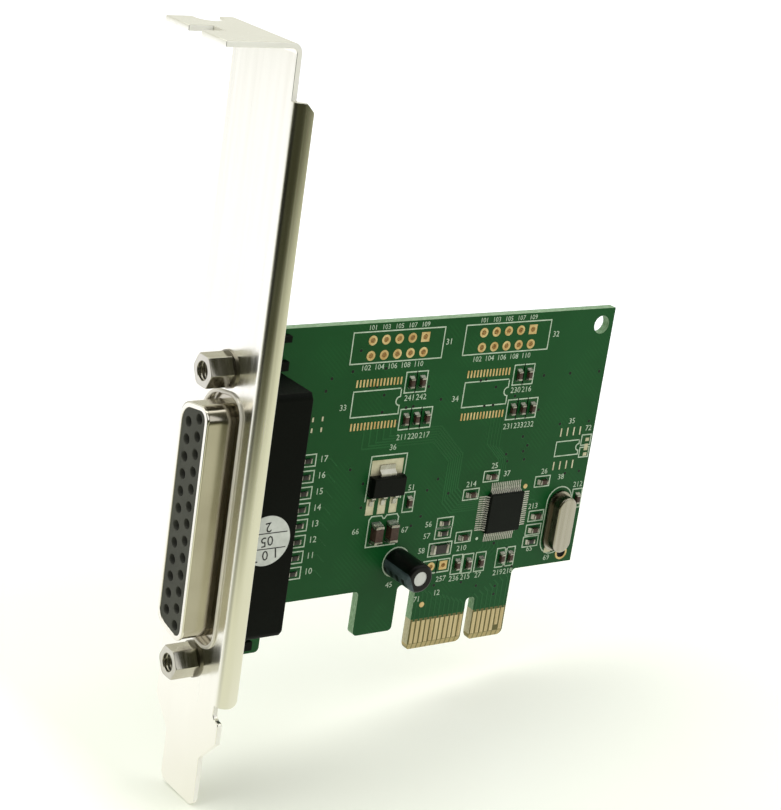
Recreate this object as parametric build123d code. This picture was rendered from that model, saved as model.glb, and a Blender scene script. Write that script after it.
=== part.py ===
"""Parallel port expansion card: a one-lane edge card, its slot bracket and a 25-way port.

Frame: +X runs from the bracket to the far end of the board, +Z is up, and the component
side faces -Y. The origin is at the key slot of the edge fingers: on the line of the finger
ends, in the middle of the slot, half way through the board.
"""

import math
import os

from build123d import *

# Circuit board, seen from the component side
board_thickness = 1.57
board_behind_bracket = 1.37
board_right = 21.1
board_above_jack = 3.41
board_bottom = 12.5
board_corner_radius = 0.8
leg_width = 13.75
leg_below_jack = 4.15
guide_left = -23.8
guide_right = -16.0
guide_bottom = 4.4

# Edge fingers, the one-lane form factor
finger_pitch = 1.0
finger_pad_width = 0.7
finger_pad_thickness = 0.05
finger_pad_top = 5.3
finger_pad_bottom = 1.2
key_width = 1.9
key_depth = 8.25
key_corner_share = 0.8
first_pin_from_key = 1.5
pins_before_key = 11
pins_after_key = 7
finger_side_margin = 0.65
finger_bevel_depth = 0.35
finger_bevel_height = 1.1
short_pin_index = 5
short_pin_bottom = 2.2

# Slot bracket, folded from one sheet
sheet = 0.86
bend_inner_radius = 0.8
bracket_face_x = -58.03
bracket_width = 18.42
bracket_height = 120.02
bracket_top = 105.4
bracket_near_y = -15.9
tab_length = 11.43
screw_notch_radius = 2.21
screw_notch_out = 5.0
screw_notch_depth = 3.27
guide_notch_width = 3.4
guide_notch_depth = 3.9
guide_notch_from_far = 6.6
flange_depth = 3.0
flange_from_top = 8.1
flange_length = 93.2
flange_corner = 1.3
relief_height = 2.3
relief_corner_radius = 1.1
strip_corner_radius = 0.5
foot_shoulder_from_top = 107.1
tongue_from_top = 111.4
tongue_width = 10.19
tongue_corner_radius = 1.5

# Port shell, drawn from sheet
port_center_y = -6.7
port_center_z = 32.07
jack_spacing = 47.04
shell_end_to_jack = 4.37
port_shell_height = 7.9
port_shell_radius = 2.4
port_side_angle = 10.0
port_shell_wall = 0.45
port_protrusion = 5.8
port_lip_radius = 0.4
port_flange_beyond_jack = 3.0
port_flange_height = 12.55
port_flange_sheet = 0.5
port_flange_corner = 1.2
cutout_gap_at_ends = 1.55
cutout_gap_at_sides = 1.5
cutout_extra_radius = 1.0

# Port contacts and insulator
contact_end_margin = 2.59
row_spacing = 2.84
near_row_count = 13
far_row_count = 12
entry_radius = 0.62
barrel_clearance = 0.07
barrel_setback = 2.2
barrel_bore_radius = 0.32
barrel_bore_depth = 2.0
tail_width = 0.5
tail_behind_shell = 5.67
tail_length_below = 1.4
pin_hole_radius = 0.5
insulator_gap = 0.05
insulator_setback = 0.1

# Port housing behind the bracket
housing_depth = 11.17
housing_near_y = -11.5
housing_top_to_jack = 3.09
housing_bottom_to_jack = 4.0
housing_wall = 1.2
housing_block = 4.2
housing_edge = 1.0
housing_edge_side = 0.65

# Mounting ears of the port
ear_riser_depth = 3.2
ear_riser_near_y = -11.9
ear_below_jack = 3.0
ear_above_jack = 2.6
ear_foot_reach = 12.47
ear_foot_thickness = 1.2
ear_slot_below = 1.5
ear_slot_above = 1.6
ear_slot_length = 5.8
peg_radius = 1.2
peg_clearance = 0.1
peg_behind_shell = 4.27
peg_beyond_board = 0.6

# Jackscrews
hex_across_flats = 4.75
hex_length = 4.1
hex_front_margin = 0.12
hex_back_margin = 0.2
hex_chamfer_angle = 60.0
tap_radius = 1.35
tap_depth = 3.6
tap_mouth_chamfer = 0.15
shank_radius = 1.42
shank_reach = 4.6
thread_clearance = 0.05
screw_hole_clearance = 0.18
washer_radius = 2.9
washer_thickness = 0.3
insert_radius = 2.1
insert_length = 3.0
sticker_radius = 4.1
sticker_thickness = 0.1
sticker_behind_shell = 6.07
sticker_z = 29.3

# Controller, a 64-lead flat pack
controller_x = 3.66
controller_z = 23.83
controller_size = 7.0
controller_height = 1.0
controller_standoff = 0.1
controller_edge = 0.12
lead_pitch = 0.4
leads_per_side = 16
lead_width = 0.18
lead_sheet = 0.13
lead_span = 1.0
lead_foot = 0.6
lead_knee_share = 0.35

# Regulator with a wide heat tab
regulator_x = -21.85
regulator_z = 31.25
regulator_length = 6.5
regulator_depth = 3.5
regulator_height = 1.6
regulator_standoff = 0.06
regulator_draft_angle = 12.0
regulator_sheet = 0.26
regulator_lead_width = 0.7
regulator_lead_pitch = 2.3
regulator_tab_width = 3.0
regulator_lead_reach = 1.75
regulator_lead_foot = 0.9

# Crystal in a low welded can
crystal_x = 16.1
crystal_z = 20.7
crystal_base_length = 11.05
crystal_base_width = 4.65
crystal_base_height = 0.55
crystal_can_length = 10.2
crystal_can_width = 3.8
crystal_height = 2.7
crystal_edge = 0.35
crystal_lead_spacing = 4.88
crystal_lead_radius = 0.22
lead_length_below = 1.2
lead_hole_clearance = 0.18

# Electrolytic capacitor standing off the board
electrolytic_x = -17.2
electrolytic_z = 17.0
electrolytic_radius = 2.5
electrolytic_length = 7.0
electrolytic_standoff = 0.2
sleeve_wall = 0.12
sleeve_rim = 1.1
can_shoulder_radius = 0.4
can_wall = 0.25
can_groove_height = 1.5
can_groove_width = 0.5
can_groove_depth = 0.25
bung_height = 1.3
bung_inset = 0.3
bung_lead_clearance = 0.02
electrolytic_lead_spacing = 2.0
electrolytic_lead_radius = 0.25

# Ceramic chips: length, width and height of each size
chip_size = (1.6, 0.8, 0.8)
resistor_size = (1.6, 0.8, 0.45)
filter_size = (3.2, 1.6, 1.6)
shunt_size = (3.2, 1.6, 0.55)
chip_end = 0.3
filter_end = 0.5
shunt_end = 0.5
end_wrap = 0.04
filter_x = -22.5
filter_z = 22.85
filter_pitch = 3.05
shunt_place = (-8.4, 18.3)
series_resistor_x = -37.7
series_resistor_top = 36.84
series_resistor_pitch = 2.763
series_resistor_count = 8
row_pitch = 2.1
bypass_row_starts = ((-19.7, 48.6), (-19.8, 42.3), (2.3, 48.3), (2.1, 42.2))
bypass_row_counts = (2, 3, 2, 3)
lower_chips = ((-4.3, 14.9), (-1.95, 14.8), (0.7, 14.8), (5.2, 15.0), (7.0, 15.0))
upright_chips = ((-16.5, 27.6), (19.9, 24.4)) + lower_chips
level_chips = ((0.1, 30.5), (-3.65, 27.6), (11.5, 28.4), (11.4, 22.05), (11.3, 19.5), (-3.8, 19.9))
level_resistors = ((-8.2, 22.95), (-8.25, 21.1), (11.15, 17.3))

# Holes in the board
corner_hole_radius = 1.6
corner_hole_in = 2.5
corner_hole_down = 2.9
header_pitch = 2.54
header_column_count = 5
header_left_x = -28.3
header_right_x = -6.4
header_below_top = 2.85
header_hole_radius = 0.5
link_x = -9.7
link_z = 15.15
link_pitch = 2.54
link_hole_radius = 0.45
pad_hole_x = 18.6
pad_hole_z = 14.3
pad_hole_radius = 0.9

# How far a cut runs past the material, and how near two coordinates are to be the same
overrun = 1.0
same = 0.01

# Worked out from the values above
jack_heights = (port_center_z - jack_spacing / 2, port_center_z + jack_spacing / 2)
board_top = jack_heights[1] + board_above_jack
leg_bottom = jack_heights[0] - leg_below_jack
header_top_z = board_top - header_below_top
port_shell_length = jack_spacing - 2 * shell_end_to_jack
port_flange_length = jack_spacing + 2 * port_flange_beyond_jack
cutout_length = port_shell_length + 2 * cutout_gap_at_ends
cutout_height = port_shell_height + 2 * cutout_gap_at_sides
contact_pitch = (port_shell_length - 2 * contact_end_margin) / (near_row_count - 1)
housing_top = jack_heights[1] - housing_top_to_jack
housing_bottom = jack_heights[0] + housing_bottom_to_jack
board_face_y = -board_thickness / 2
board_back_y = board_thickness / 2
fingers_left = -(first_pin_from_key + (pins_before_key - 1) * finger_pitch + finger_side_margin)
fingers_right = first_pin_from_key + (pins_after_key - 1) * finger_pitch + finger_side_margin
sheet_back_x = bracket_face_x + sheet
board_left = sheet_back_x + board_behind_bracket
leg_right = board_left + leg_width
bend_outer_radius = bend_inner_radius + sheet
bracket_far_y = bracket_near_y + bracket_width
bracket_center_y = (bracket_near_y + bracket_far_y) / 2
flat_near_y = bracket_near_y + bend_outer_radius
flange_top = bracket_top - flange_from_top
flange_bottom = flange_top - flange_length
port_face_x = sheet_back_x - port_protrusion
shell_back_x = sheet_back_x + port_flange_sheet
tail_far_row_x = shell_back_x + tail_behind_shell
ear_foot_end_x = shell_back_x + ear_foot_reach
peg_x = shell_back_x + peg_behind_shell
sticker_x = shell_back_x + sticker_behind_shell
housing_back_x = shell_back_x + housing_depth
near_row_y = port_center_y - row_spacing / 2
far_row_y = port_center_y + row_spacing / 2
tail_near_row_x = tail_far_row_x + row_spacing
screw_hole_radius = shank_radius + screw_hole_clearance
washer_face_x = bracket_face_x - washer_thickness
peg_reach = board_back_y + peg_beyond_board


def box(x_range, y_range, z_range):
    """A block between two corners."""
    size = [high - low for low, high in (x_range, y_range, z_range)]
    return Pos(x_range[0], y_range[0], z_range[0]) * Box(*size, align=(Align.MIN, Align.MIN, Align.MIN))


def rod_x(radius, x_range, y, z):
    """A round bar along X."""
    bar = Cylinder(radius, x_range[1] - x_range[0], align=(Align.CENTER, Align.CENTER, Align.MIN))
    return Pos(x_range[0], y, z) * Rot(0, 90, 0) * bar


def rod_y(radius, y_range, x, z):
    """A round bar through the board, along Y."""
    bar = Cylinder(radius, y_range[1] - y_range[0], align=(Align.CENTER, Align.CENTER, Align.MIN))
    return Pos(x, y_range[0], z) * Rot(-90, 0, 0) * bar


def slab_x(sketch, x_range):
    """A sketch drawn with Y across and Z up, made solid along X."""
    return extrude(Plane.YZ.offset(x_range[0]) * sketch, x_range[1] - x_range[0])


def slab_y(sketch, y_range):
    """A sketch drawn with X across and Z up, made solid along Y."""
    return extrude(Plane.XZ.offset(-y_range[1]) * sketch, y_range[1] - y_range[0])


def d_outline(length, height, radius):
    """The D shape of the port: the long side carries the near row."""
    slope = height * math.tan(math.radians(port_side_angle))
    near, far = port_center_y - height / 2, port_center_y + height / 2
    long_half, short_half = length / 2, length / 2 - slope
    points = (
        (near, port_center_z - long_half),
        (near, port_center_z + long_half),
        (far, port_center_z + short_half),
        (far, port_center_z - short_half),
    )
    face = make_face(Polyline(*points, close=True))
    return fillet(face.vertices(), radius)


def contact_places():
    """Height, row depth and board column of each of the port's contacts."""
    rows = ((near_row_count, near_row_y, tail_near_row_x), (far_row_count, far_row_y, tail_far_row_x))
    places = []
    for count, y, column in rows:
        lowest = port_center_z - (count - 1) / 2 * contact_pitch
        places += [(lowest + i * contact_pitch, y, column) for i in range(count)]
    return places


def header_holes():
    """Centres of the empty pin holes of the two headers and the link."""
    places = []
    for left in (header_left_x, header_right_x):
        for row in range(2):
            z = header_top_z - row * header_pitch
            places += [(left + i * header_pitch, z) for i in range(header_column_count)]
    return places


def finger_centers():
    """Pad centres along X, counted away from the key on both sides."""
    before = [-(first_pin_from_key + i * finger_pitch) for i in range(pins_before_key)]
    after = [first_pin_from_key + i * finger_pitch for i in range(pins_after_key)]
    return before, after


def make_board():
    """The board: one outline with a leg, a guide tab and two finger sections."""
    key_half = key_width / 2
    points = (
        (board_left, leg_bottom),
        (leg_right, leg_bottom),
        (leg_right, board_bottom),
        (guide_left, board_bottom),
        (guide_left, guide_bottom),
        (guide_right, guide_bottom),
        (guide_right, board_bottom),
        (fingers_left, board_bottom),
        (fingers_left, 0),
        (-key_half, 0),
        (-key_half, key_depth),
        (key_half, key_depth),
        (key_half, 0),
        (fingers_right, 0),
        (fingers_right, board_bottom),
        (board_right, board_bottom),
        (board_right, board_top),
        (board_left, board_top),
    )
    face = make_face(Polyline(*points, close=True))
    routed = [v for v in face.vertices() if abs(v.X - board_left) > same and abs(v.X - board_right) > same]
    face = fillet([v for v in routed if abs(v.Y - key_depth) > same], board_corner_radius)
    key_corners = [v for v in face.vertices() if abs(v.Y - key_depth) < same]
    face = fillet(key_corners, key_half * key_corner_share)
    board = slab_y(face, (board_face_y, board_back_y))

    bevel_slope = finger_bevel_depth / finger_bevel_height
    for side in (-1, 1):
        depth = board_thickness / 2
        wedge_points = (
            (side * depth, finger_bevel_height),
            (side * (depth - finger_bevel_depth), 0),
            (side * (depth - finger_bevel_depth - bevel_slope * overrun), -overrun),
            (side * (depth + overrun), -overrun),
            (side * (depth + overrun), finger_bevel_height),
        )
        wedge = make_face(Polyline(*wedge_points, close=True))
        board -= slab_x(wedge, (fingers_left - overrun, fingers_right + overrun))

    through = (board_face_y - overrun, board_back_y + overrun)
    holes = [rod_y(corner_hole_radius, through, board_right - corner_hole_in, board_top - corner_hole_down)]
    holes += [rod_y(header_hole_radius, through, x, z) for x, z in header_holes()]
    holes += [rod_y(link_hole_radius, through, link_x + i * link_pitch, link_z) for i in range(2)]
    holes.append(rod_y(pad_hole_radius, through, pad_hole_x, pad_hole_z))
    holes += [rod_y(pin_hole_radius, through, column, z) for z, y, column in contact_places()]
    holes += [rod_y(peg_radius + peg_clearance, through, peg_x, z) for z in jack_heights]
    for side in (-0.5, 0.5):
        radius = crystal_lead_radius + lead_hole_clearance
        holes.append(rod_y(radius, through, crystal_x, crystal_z + side * crystal_lead_spacing))
        radius = electrolytic_lead_radius + lead_hole_clearance
        x = electrolytic_x + side * electrolytic_lead_spacing
        holes.append(rod_y(radius, through, x, electrolytic_z))
    return board - holes


def make_edge_contacts():
    """Flat plated fingers on both faces; the presence finger is shorter than the rest."""
    before, after = finger_centers()
    front = (board_face_y - finger_pad_thickness, board_face_y)
    back = (board_back_y, board_back_y + finger_pad_thickness)
    pads = []
    for index, x in enumerate(before + after):
        short = index == pins_before_key + short_pin_index
        bottom = short_pin_bottom if short else finger_pad_bottom
        x_range = (x - finger_pad_width / 2, x + finger_pad_width / 2)
        pads.append(box(x_range, front, (bottom, finger_pad_top)))
        pads.append(box(x_range, back, (finger_pad_bottom, finger_pad_top)))
    return Compound(children=pads)


def make_bracket():
    """One folded sheet: upright plate, outward tab, inward flange and a plug-in tongue."""
    tongue_end = bracket_top - bracket_height
    tab_end_x = bracket_face_x - tab_length
    bend_x = bracket_face_x - bend_inner_radius
    bend_z = bracket_top - bend_outer_radius
    with BuildSketch() as side:
        with BuildLine():
            Line((sheet_back_x, tongue_end), (sheet_back_x, bend_z))
            RadiusArc((sheet_back_x, bend_z), (bend_x, bracket_top), -bend_outer_radius)
            Line((bend_x, bracket_top), (tab_end_x, bracket_top))
            Line((tab_end_x, bracket_top), (tab_end_x, bracket_top - sheet))
            Line((tab_end_x, bracket_top - sheet), (bend_x, bracket_top - sheet))
            RadiusArc((bend_x, bracket_top - sheet), (bracket_face_x, bend_z), bend_inner_radius)
            Line((bracket_face_x, bend_z), (bracket_face_x, tongue_end))
            Line((bracket_face_x, tongue_end), (sheet_back_x, tongue_end))
        make_face()
    plate = slab_y(side.sketch, (flat_near_y, bracket_far_y))

    shoulder = bracket_top - foot_shoulder_from_top
    tongue_top = bracket_top - tongue_from_top
    strip_top = flange_bottom - relief_height
    strip = box((bracket_face_x, sheet_back_x), (bracket_near_y, flat_near_y), (tongue_end, strip_top))
    strip_corner = strip.edges().filter_by(Axis.X).group_by(Axis.Z)[-1].group_by(Axis.Y)[0]
    strip = fillet(strip_corner, strip_corner_radius)
    plate += strip
    at_strip_top = [e for e in plate.edges().filter_by(Axis.X) if abs(e.center().Z - strip_top) < same]
    relief_corner = [e for e in at_strip_top if abs(e.center().Y - flat_near_y) < same]
    plate = fillet(relief_corner, relief_corner_radius)

    through_plate = (bracket_face_x - overrun, sheet_back_x + overrun)
    half_tongue = tongue_width / 2
    for side_sign, edge_y in ((-1, bracket_near_y), (1, bracket_far_y)):
        inner_y = bracket_center_y + side_sign * half_tongue
        beyond_y = edge_y + side_sign * overrun
        corner = make_face(
            Polyline(
                (edge_y, shoulder),
                (inner_y, tongue_top),
                (inner_y, tongue_end - overrun),
                (beyond_y, tongue_end - overrun),
                (beyond_y, shoulder),
                close=True,
            )
        )
        plate -= slab_x(corner, through_plate)
    tips = plate.edges().filter_by(Axis.X).group_by(Axis.Z)[0]
    plate = fillet(tips, tongue_corner_radius)

    through_tab = (bracket_top - sheet - overrun, bracket_top + overrun)
    notch_x = bracket_face_x - screw_notch_out
    notch_center_y = bracket_far_y - screw_notch_depth + screw_notch_radius
    notch = Pos(notch_x, notch_center_y, through_tab[0]) * Cylinder(
        screw_notch_radius, through_tab[1] - through_tab[0], align=(Align.CENTER, Align.CENTER, Align.MIN)
    )
    notch_x_range = (notch_x - screw_notch_radius, notch_x + screw_notch_radius)
    notch += box(notch_x_range, (notch_center_y, bracket_far_y + overrun), through_tab)
    plate -= notch
    guide_far = bracket_far_y - guide_notch_from_far
    guide_x_range = (tab_end_x - overrun, tab_end_x + guide_notch_depth)
    plate -= box(guide_x_range, (guide_far - guide_notch_width, guide_far), through_tab)

    flange_end_x = bracket_face_x + flange_depth
    bend_near_x = bracket_face_x + bend_outer_radius
    with BuildSketch(Plane.XY.offset(flange_bottom)) as fold:
        with BuildLine():
            Line((bracket_face_x, flat_near_y), (sheet_back_x, flat_near_y))
            RadiusArc((sheet_back_x, flat_near_y), (bend_near_x, bracket_near_y + sheet), -bend_inner_radius)
            Line((bend_near_x, bracket_near_y + sheet), (flange_end_x, bracket_near_y + sheet))
            Line((flange_end_x, bracket_near_y + sheet), (flange_end_x, bracket_near_y))
            Line((flange_end_x, bracket_near_y), (bend_near_x, bracket_near_y))
            RadiusArc((bend_near_x, bracket_near_y), (bracket_face_x, flat_near_y), bend_outer_radius)
        make_face()
    flange = extrude(fold.sketch, flange_length)
    free_corners = flange.edges().filter_by(Axis.Y).group_by(Axis.X)[-1]
    flange = chamfer(free_corners.group_by(Axis.Z)[-1], flange_corner)
    free_corners = flange.edges().filter_by(Axis.Y).group_by(Axis.Z)[0].group_by(Axis.X)[-1]
    flange = fillet(free_corners, flange_corner)
    plate += flange

    cutout = d_outline(cutout_length, cutout_height, port_shell_radius + cutout_extra_radius)
    plate -= slab_x(cutout, through_plate)
    for z in jack_heights:
        plate -= rod_x(screw_hole_radius, through_plate, port_center_y, z)
    return plate


def make_port_shell():
    """Drawn shell: a D-shaped cup with a rolled lip on a flat flange."""
    outer = d_outline(port_shell_length, port_shell_height, port_shell_radius)
    cup = slab_x(outer, (port_face_x, shell_back_x))
    cup = fillet(cup.edges().group_by(Axis.X)[0], port_lip_radius)
    plate_face = Pos(port_center_y, port_center_z) * RectangleRounded(
        port_flange_height, port_flange_length, port_flange_corner
    )
    shell = cup + slab_x(plate_face, (sheet_back_x, shell_back_x))
    inner = d_outline(
        port_shell_length - 2 * port_shell_wall,
        port_shell_height - 2 * port_shell_wall,
        port_shell_radius - port_shell_wall,
    )
    through_shell = (port_face_x - overrun, shell_back_x + overrun)
    shell -= slab_x(inner, through_shell)
    for z in jack_heights:
        shell -= rod_x(screw_hole_radius, through_shell, port_center_y, z)
    return shell


def make_insulator():
    """Dark moulding inside the shell with one entry hole for each contact."""
    margin = port_shell_wall + insulator_gap
    length = port_shell_length - 2 * margin
    outline = d_outline(length, port_shell_height - 2 * margin, port_shell_radius - margin)
    body = slab_x(outline, (port_face_x + insulator_setback, shell_back_x))
    through_body = (port_face_x - overrun, shell_back_x + overrun)
    holes = [rod_x(entry_radius, through_body, y, z) for z, y, column in contact_places()]
    return body - holes


def make_housing():
    """Moulded rear body: a solid block for the contacts and a hood over their tails."""
    body = box((shell_back_x, housing_back_x), (housing_near_y, board_face_y), (housing_bottom, housing_top))
    near_edges = body.edges().filter_by(Axis.X).group_by(Axis.Y)[0]
    body = chamfer(near_edges, housing_edge, housing_edge_side)
    block_end = shell_back_x + housing_block
    body -= box(
        (block_end, housing_back_x - housing_wall),
        (housing_near_y + housing_wall, board_face_y + overrun),
        (housing_bottom + housing_wall, housing_top - housing_wall),
    )
    through_block = (shell_back_x - overrun, block_end + overrun)
    holes = [rod_x(entry_radius, through_block, y, z) for z, y, column in contact_places()]
    return body - holes


def make_port_contacts():
    """Socket barrels, each with a tail that turns down through its hole in the board."""
    barrel_radius = entry_radius - barrel_clearance
    barrel_front = port_face_x + barrel_setback
    barrel_end = shell_back_x + housing_block
    half = tail_width / 2
    contacts = []
    for z, y, column in contact_places():
        barrel = rod_x(barrel_radius, (barrel_front, barrel_end), y, z)
        barrel -= rod_x(barrel_bore_radius, (barrel_front - overrun, barrel_front + barrel_bore_depth), y, z)
        z_range = (z - half, z + half)
        level = box((barrel_end, column + half), (y - half, y + half), z_range)
        down = box((column - half, column + half), (y - half, board_back_y + tail_length_below), z_range)
        contacts.append(barrel + level + down)
    return Compound(children=contacts)


def make_ear(z):
    """Moulded ear: a riser behind the shell, a forked foot and a peg into the board."""
    z_range = (z - ear_below_jack, z + ear_above_jack)
    riser_end = shell_back_x + ear_riser_depth
    ear = box((shell_back_x, riser_end), (ear_riser_near_y, board_face_y), z_range)
    ear += box((riser_end, ear_foot_end_x), (board_face_y - ear_foot_thickness, board_face_y), z_range)
    ear -= box(
        (ear_foot_end_x - ear_slot_length, ear_foot_end_x + overrun),
        (board_face_y - ear_foot_thickness - overrun, board_face_y + overrun),
        (z - ear_slot_below, z + ear_slot_above),
    )
    ear -= rod_x(insert_radius, (shell_back_x - overrun, riser_end + overrun), port_center_y, z)
    return ear + rod_y(peg_radius, (board_face_y - ear_foot_thickness, peg_reach), peg_x, z)


def make_ears():
    """The same ear behind each jackscrew."""
    return Compound(children=[make_ear(z) for z in jack_heights])


def make_inserts():
    """Threaded inserts in the ears, which the jackscrews draw up."""
    inserts = []
    for z in jack_heights:
        x_range = (shell_back_x, shell_back_x + insert_length)
        tube = rod_x(insert_radius, x_range, port_center_y, z)
        bore_range = (x_range[0] - overrun, x_range[1] + overrun)
        tube -= rod_x(shank_radius + thread_clearance, bore_range, port_center_y, z)
        inserts.append(tube)
    return Compound(children=inserts)


def chamfer_cone(end_margin):
    """The cone that turns off a hexagon's corners, from its small end along +Z."""
    small = hex_across_flats / 2 + end_margin
    large = small + hex_length * math.tan(math.radians(hex_chamfer_angle))
    return Cone(small, large, hex_length, align=(Align.CENTER, Align.CENTER, Align.MIN))


def make_jackscrews():
    """Hexagonal jackscrews with a tapped front end and a shank through the bracket."""
    front = washer_face_x - hex_length
    screws = []
    for z in jack_heights:
        hexagon = Pos(port_center_y, z) * RegularPolygon(hex_across_flats / 2, 6, major_radius=False)
        head = slab_x(hexagon, (front, washer_face_x))
        head = head & (Pos(front, port_center_y, z) * Rot(0, 90, 0) * chamfer_cone(hex_front_margin))
        head = head & (Pos(washer_face_x, port_center_y, z) * Rot(0, -90, 0) * chamfer_cone(hex_back_margin))
        screw = head + rod_x(shank_radius, (washer_face_x, sheet_back_x + shank_reach), port_center_y, z)
        screw -= rod_x(tap_radius, (front - overrun, front + tap_depth), port_center_y, z)
        mouth = screw.edges().filter_by(GeomType.CIRCLE).group_by(Axis.X)[0]
        mouth = [e for e in mouth if abs(e.radius - tap_radius) < same]
        screws.append(chamfer(mouth, tap_mouth_chamfer))
    return Compound(children=screws)


def make_washers():
    """Thin washers between the jackscrews and the bracket."""
    washers = []
    through_washer = (washer_face_x - overrun, bracket_face_x + overrun)
    for z in jack_heights:
        washer = rod_x(washer_radius, (washer_face_x, bracket_face_x), port_center_y, z)
        washer -= rod_x(screw_hole_radius, through_washer, port_center_y, z)
        washers.append(washer)
    return Compound(children=washers)


def make_sticker():
    """Round paper label on the near face of the housing."""
    return rod_y(sticker_radius, (housing_near_y - sticker_thickness, housing_near_y), sticker_x, sticker_z)


def controller_top():
    return board_face_y - controller_standoff - controller_height


def make_controller_body():
    """Flat square package with bevelled edges, held off the board by its leads."""
    half = controller_size / 2
    body = box(
        (controller_x - half, controller_x + half),
        (controller_top(), board_face_y - controller_standoff),
        (controller_z - half, controller_z + half),
    )
    return chamfer(body.edges().group_by(Axis.Y)[0], controller_edge)


def gull_wing(reach, foot, thickness, rise, width):
    """A bent lead along +X from the origin at the package side, foot on the board."""
    knee = reach - foot
    start = knee * lead_knee_share
    points = (
        (0, rise),
        (start + thickness / 2, rise),
        (knee + thickness / 2, thickness),
        (reach, thickness),
        (reach, 0),
        (knee - thickness / 2, 0),
        (start - thickness / 2, rise - thickness),
        (0, rise - thickness),
    )
    lead = extrude(make_face(Polyline(*points, close=True)), width / 2, both=True)
    return Rot(180, 0, 0) * lead


def make_controller_leads():
    """Four rows of gull-wing leads."""
    rise = controller_standoff + controller_height / 2
    lead = gull_wing(lead_span, lead_foot, lead_sheet, rise, lead_width)
    leads = []
    for side in range(4):
        for i in range(leads_per_side):
            offset = (i - (leads_per_side - 1) / 2) * lead_pitch
            turned = Rot(0, 90 * side, 0) * Pos(controller_size / 2, 0, offset) * lead
            leads.append(Pos(controller_x, board_face_y, controller_z) * turned)
    return Compound(children=leads)


def make_regulator_body():
    """Moulded body with drafted sides."""
    base = Pos(regulator_x, regulator_z) * Rectangle(regulator_length, regulator_depth)
    start = board_face_y - regulator_standoff
    middle = start - regulator_height / 2
    lower = slab_y(base, (middle, start))
    upper = extrude(Plane.XZ.offset(-middle) * base, regulator_height / 2, taper=regulator_draft_angle)
    return lower + upper


def make_regulator_leads():
    """Three leads below the body and the wide tab above it."""
    rise = regulator_standoff + regulator_height / 2
    reach, foot = regulator_lead_reach, regulator_lead_foot
    leads = []
    for i in (-1, 0, 1):
        lead = gull_wing(reach, foot, regulator_sheet, rise, regulator_lead_width)
        place = Pos(regulator_x + i * regulator_lead_pitch, board_face_y, regulator_z - regulator_depth / 2)
        leads.append(place * Rot(0, 90, 0) * lead)
    tab = gull_wing(reach, foot, regulator_sheet, rise, regulator_tab_width)
    leads.append(Pos(regulator_x, board_face_y, regulator_z + regulator_depth / 2) * Rot(0, -90, 0) * tab)
    return Compound(children=leads)


def crystal_outline(length, width):
    """A round-ended outline that stands upright on the board."""
    return Pos(crystal_x, crystal_z) * Rot(0, 0, 90) * SlotOverall(length, width)


def make_crystal_base():
    """Welded rim of the can with the two leads that pass through the board."""
    outline = crystal_outline(crystal_base_length, crystal_base_width)
    rim = slab_y(outline, (board_face_y - crystal_base_height, board_face_y))
    for side in (-0.5, 0.5):
        y_range = (board_face_y - crystal_base_height / 2, board_back_y + lead_length_below)
        rim += rod_y(crystal_lead_radius, y_range, crystal_x, crystal_z + side * crystal_lead_spacing)
    return rim


def make_crystal_can():
    """Drawn can with a rounded top edge."""
    y_range = (board_face_y - crystal_height, board_face_y - crystal_base_height)
    can = slab_y(crystal_outline(crystal_can_length, crystal_can_width), y_range)
    return fillet(can.edges().group_by(Axis.Y)[0], crystal_edge)


def electrolytic_range():
    start = board_face_y - electrolytic_standoff
    return start - electrolytic_length, start


def shouldered_can(radius, y_range, shoulder):
    """A round can with a rounded edge at its closed end."""
    can = rod_y(radius, y_range, electrolytic_x, electrolytic_z)
    return fillet(can.edges().group_by(Axis.Y)[0], shoulder)


def make_electrolytic_can():
    """Turned aluminium can with a rolled groove near the bung."""
    top, start = electrolytic_range()
    radius = electrolytic_radius - sleeve_wall
    can = shouldered_can(radius, (top + sleeve_wall, start), can_shoulder_radius)
    groove_range = (start - can_groove_height - can_groove_width, start - can_groove_height)
    ring = rod_y(radius + overrun, groove_range, electrolytic_x, electrolytic_z)
    ring -= rod_y(radius - can_groove_depth, groove_range, electrolytic_x, electrolytic_z)
    can -= ring
    mouth = (start - bung_height, start + overrun)
    return can - rod_y(radius - can_wall, mouth, electrolytic_x, electrolytic_z)


def make_electrolytic_sleeve():
    """Shrunk sleeve that turns over the closed end of the can."""
    top, start = electrolytic_range()
    sleeve = shouldered_can(electrolytic_radius, (top, start), can_shoulder_radius + sleeve_wall)
    radius = electrolytic_radius - sleeve_wall
    sleeve -= shouldered_can(radius, (top + sleeve_wall, start + overrun), can_shoulder_radius)
    return sleeve - rod_y(radius - sleeve_rim, (top - overrun, start), electrolytic_x, electrolytic_z)


def make_electrolytic_bung():
    """Rubber bung that closes the can."""
    top, start = electrolytic_range()
    radius = electrolytic_radius - sleeve_wall - can_wall
    bung = rod_y(radius, (start - bung_height, start + electrolytic_standoff), electrolytic_x, electrolytic_z)
    bung -= rod_y(radius - bung_inset, (start, start + overrun), electrolytic_x, electrolytic_z)
    for side in (-0.5, 0.5):
        x = electrolytic_x + side * electrolytic_lead_spacing
        hole_radius = electrolytic_lead_radius + bung_lead_clearance
        bung -= rod_y(hole_radius, (start - bung_height - overrun, start + overrun), x, electrolytic_z)
    return bung


def make_electrolytic_leads():
    """Two leads from the bung through the board."""
    top, start = electrolytic_range()
    y_range = (start - bung_height, board_back_y + lead_length_below)
    places = [electrolytic_x + side * electrolytic_lead_spacing for side in (-0.5, 0.5)]
    leads = [rod_y(electrolytic_lead_radius, y_range, x, electrolytic_z) for x in places]
    return Compound(children=leads)


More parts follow.
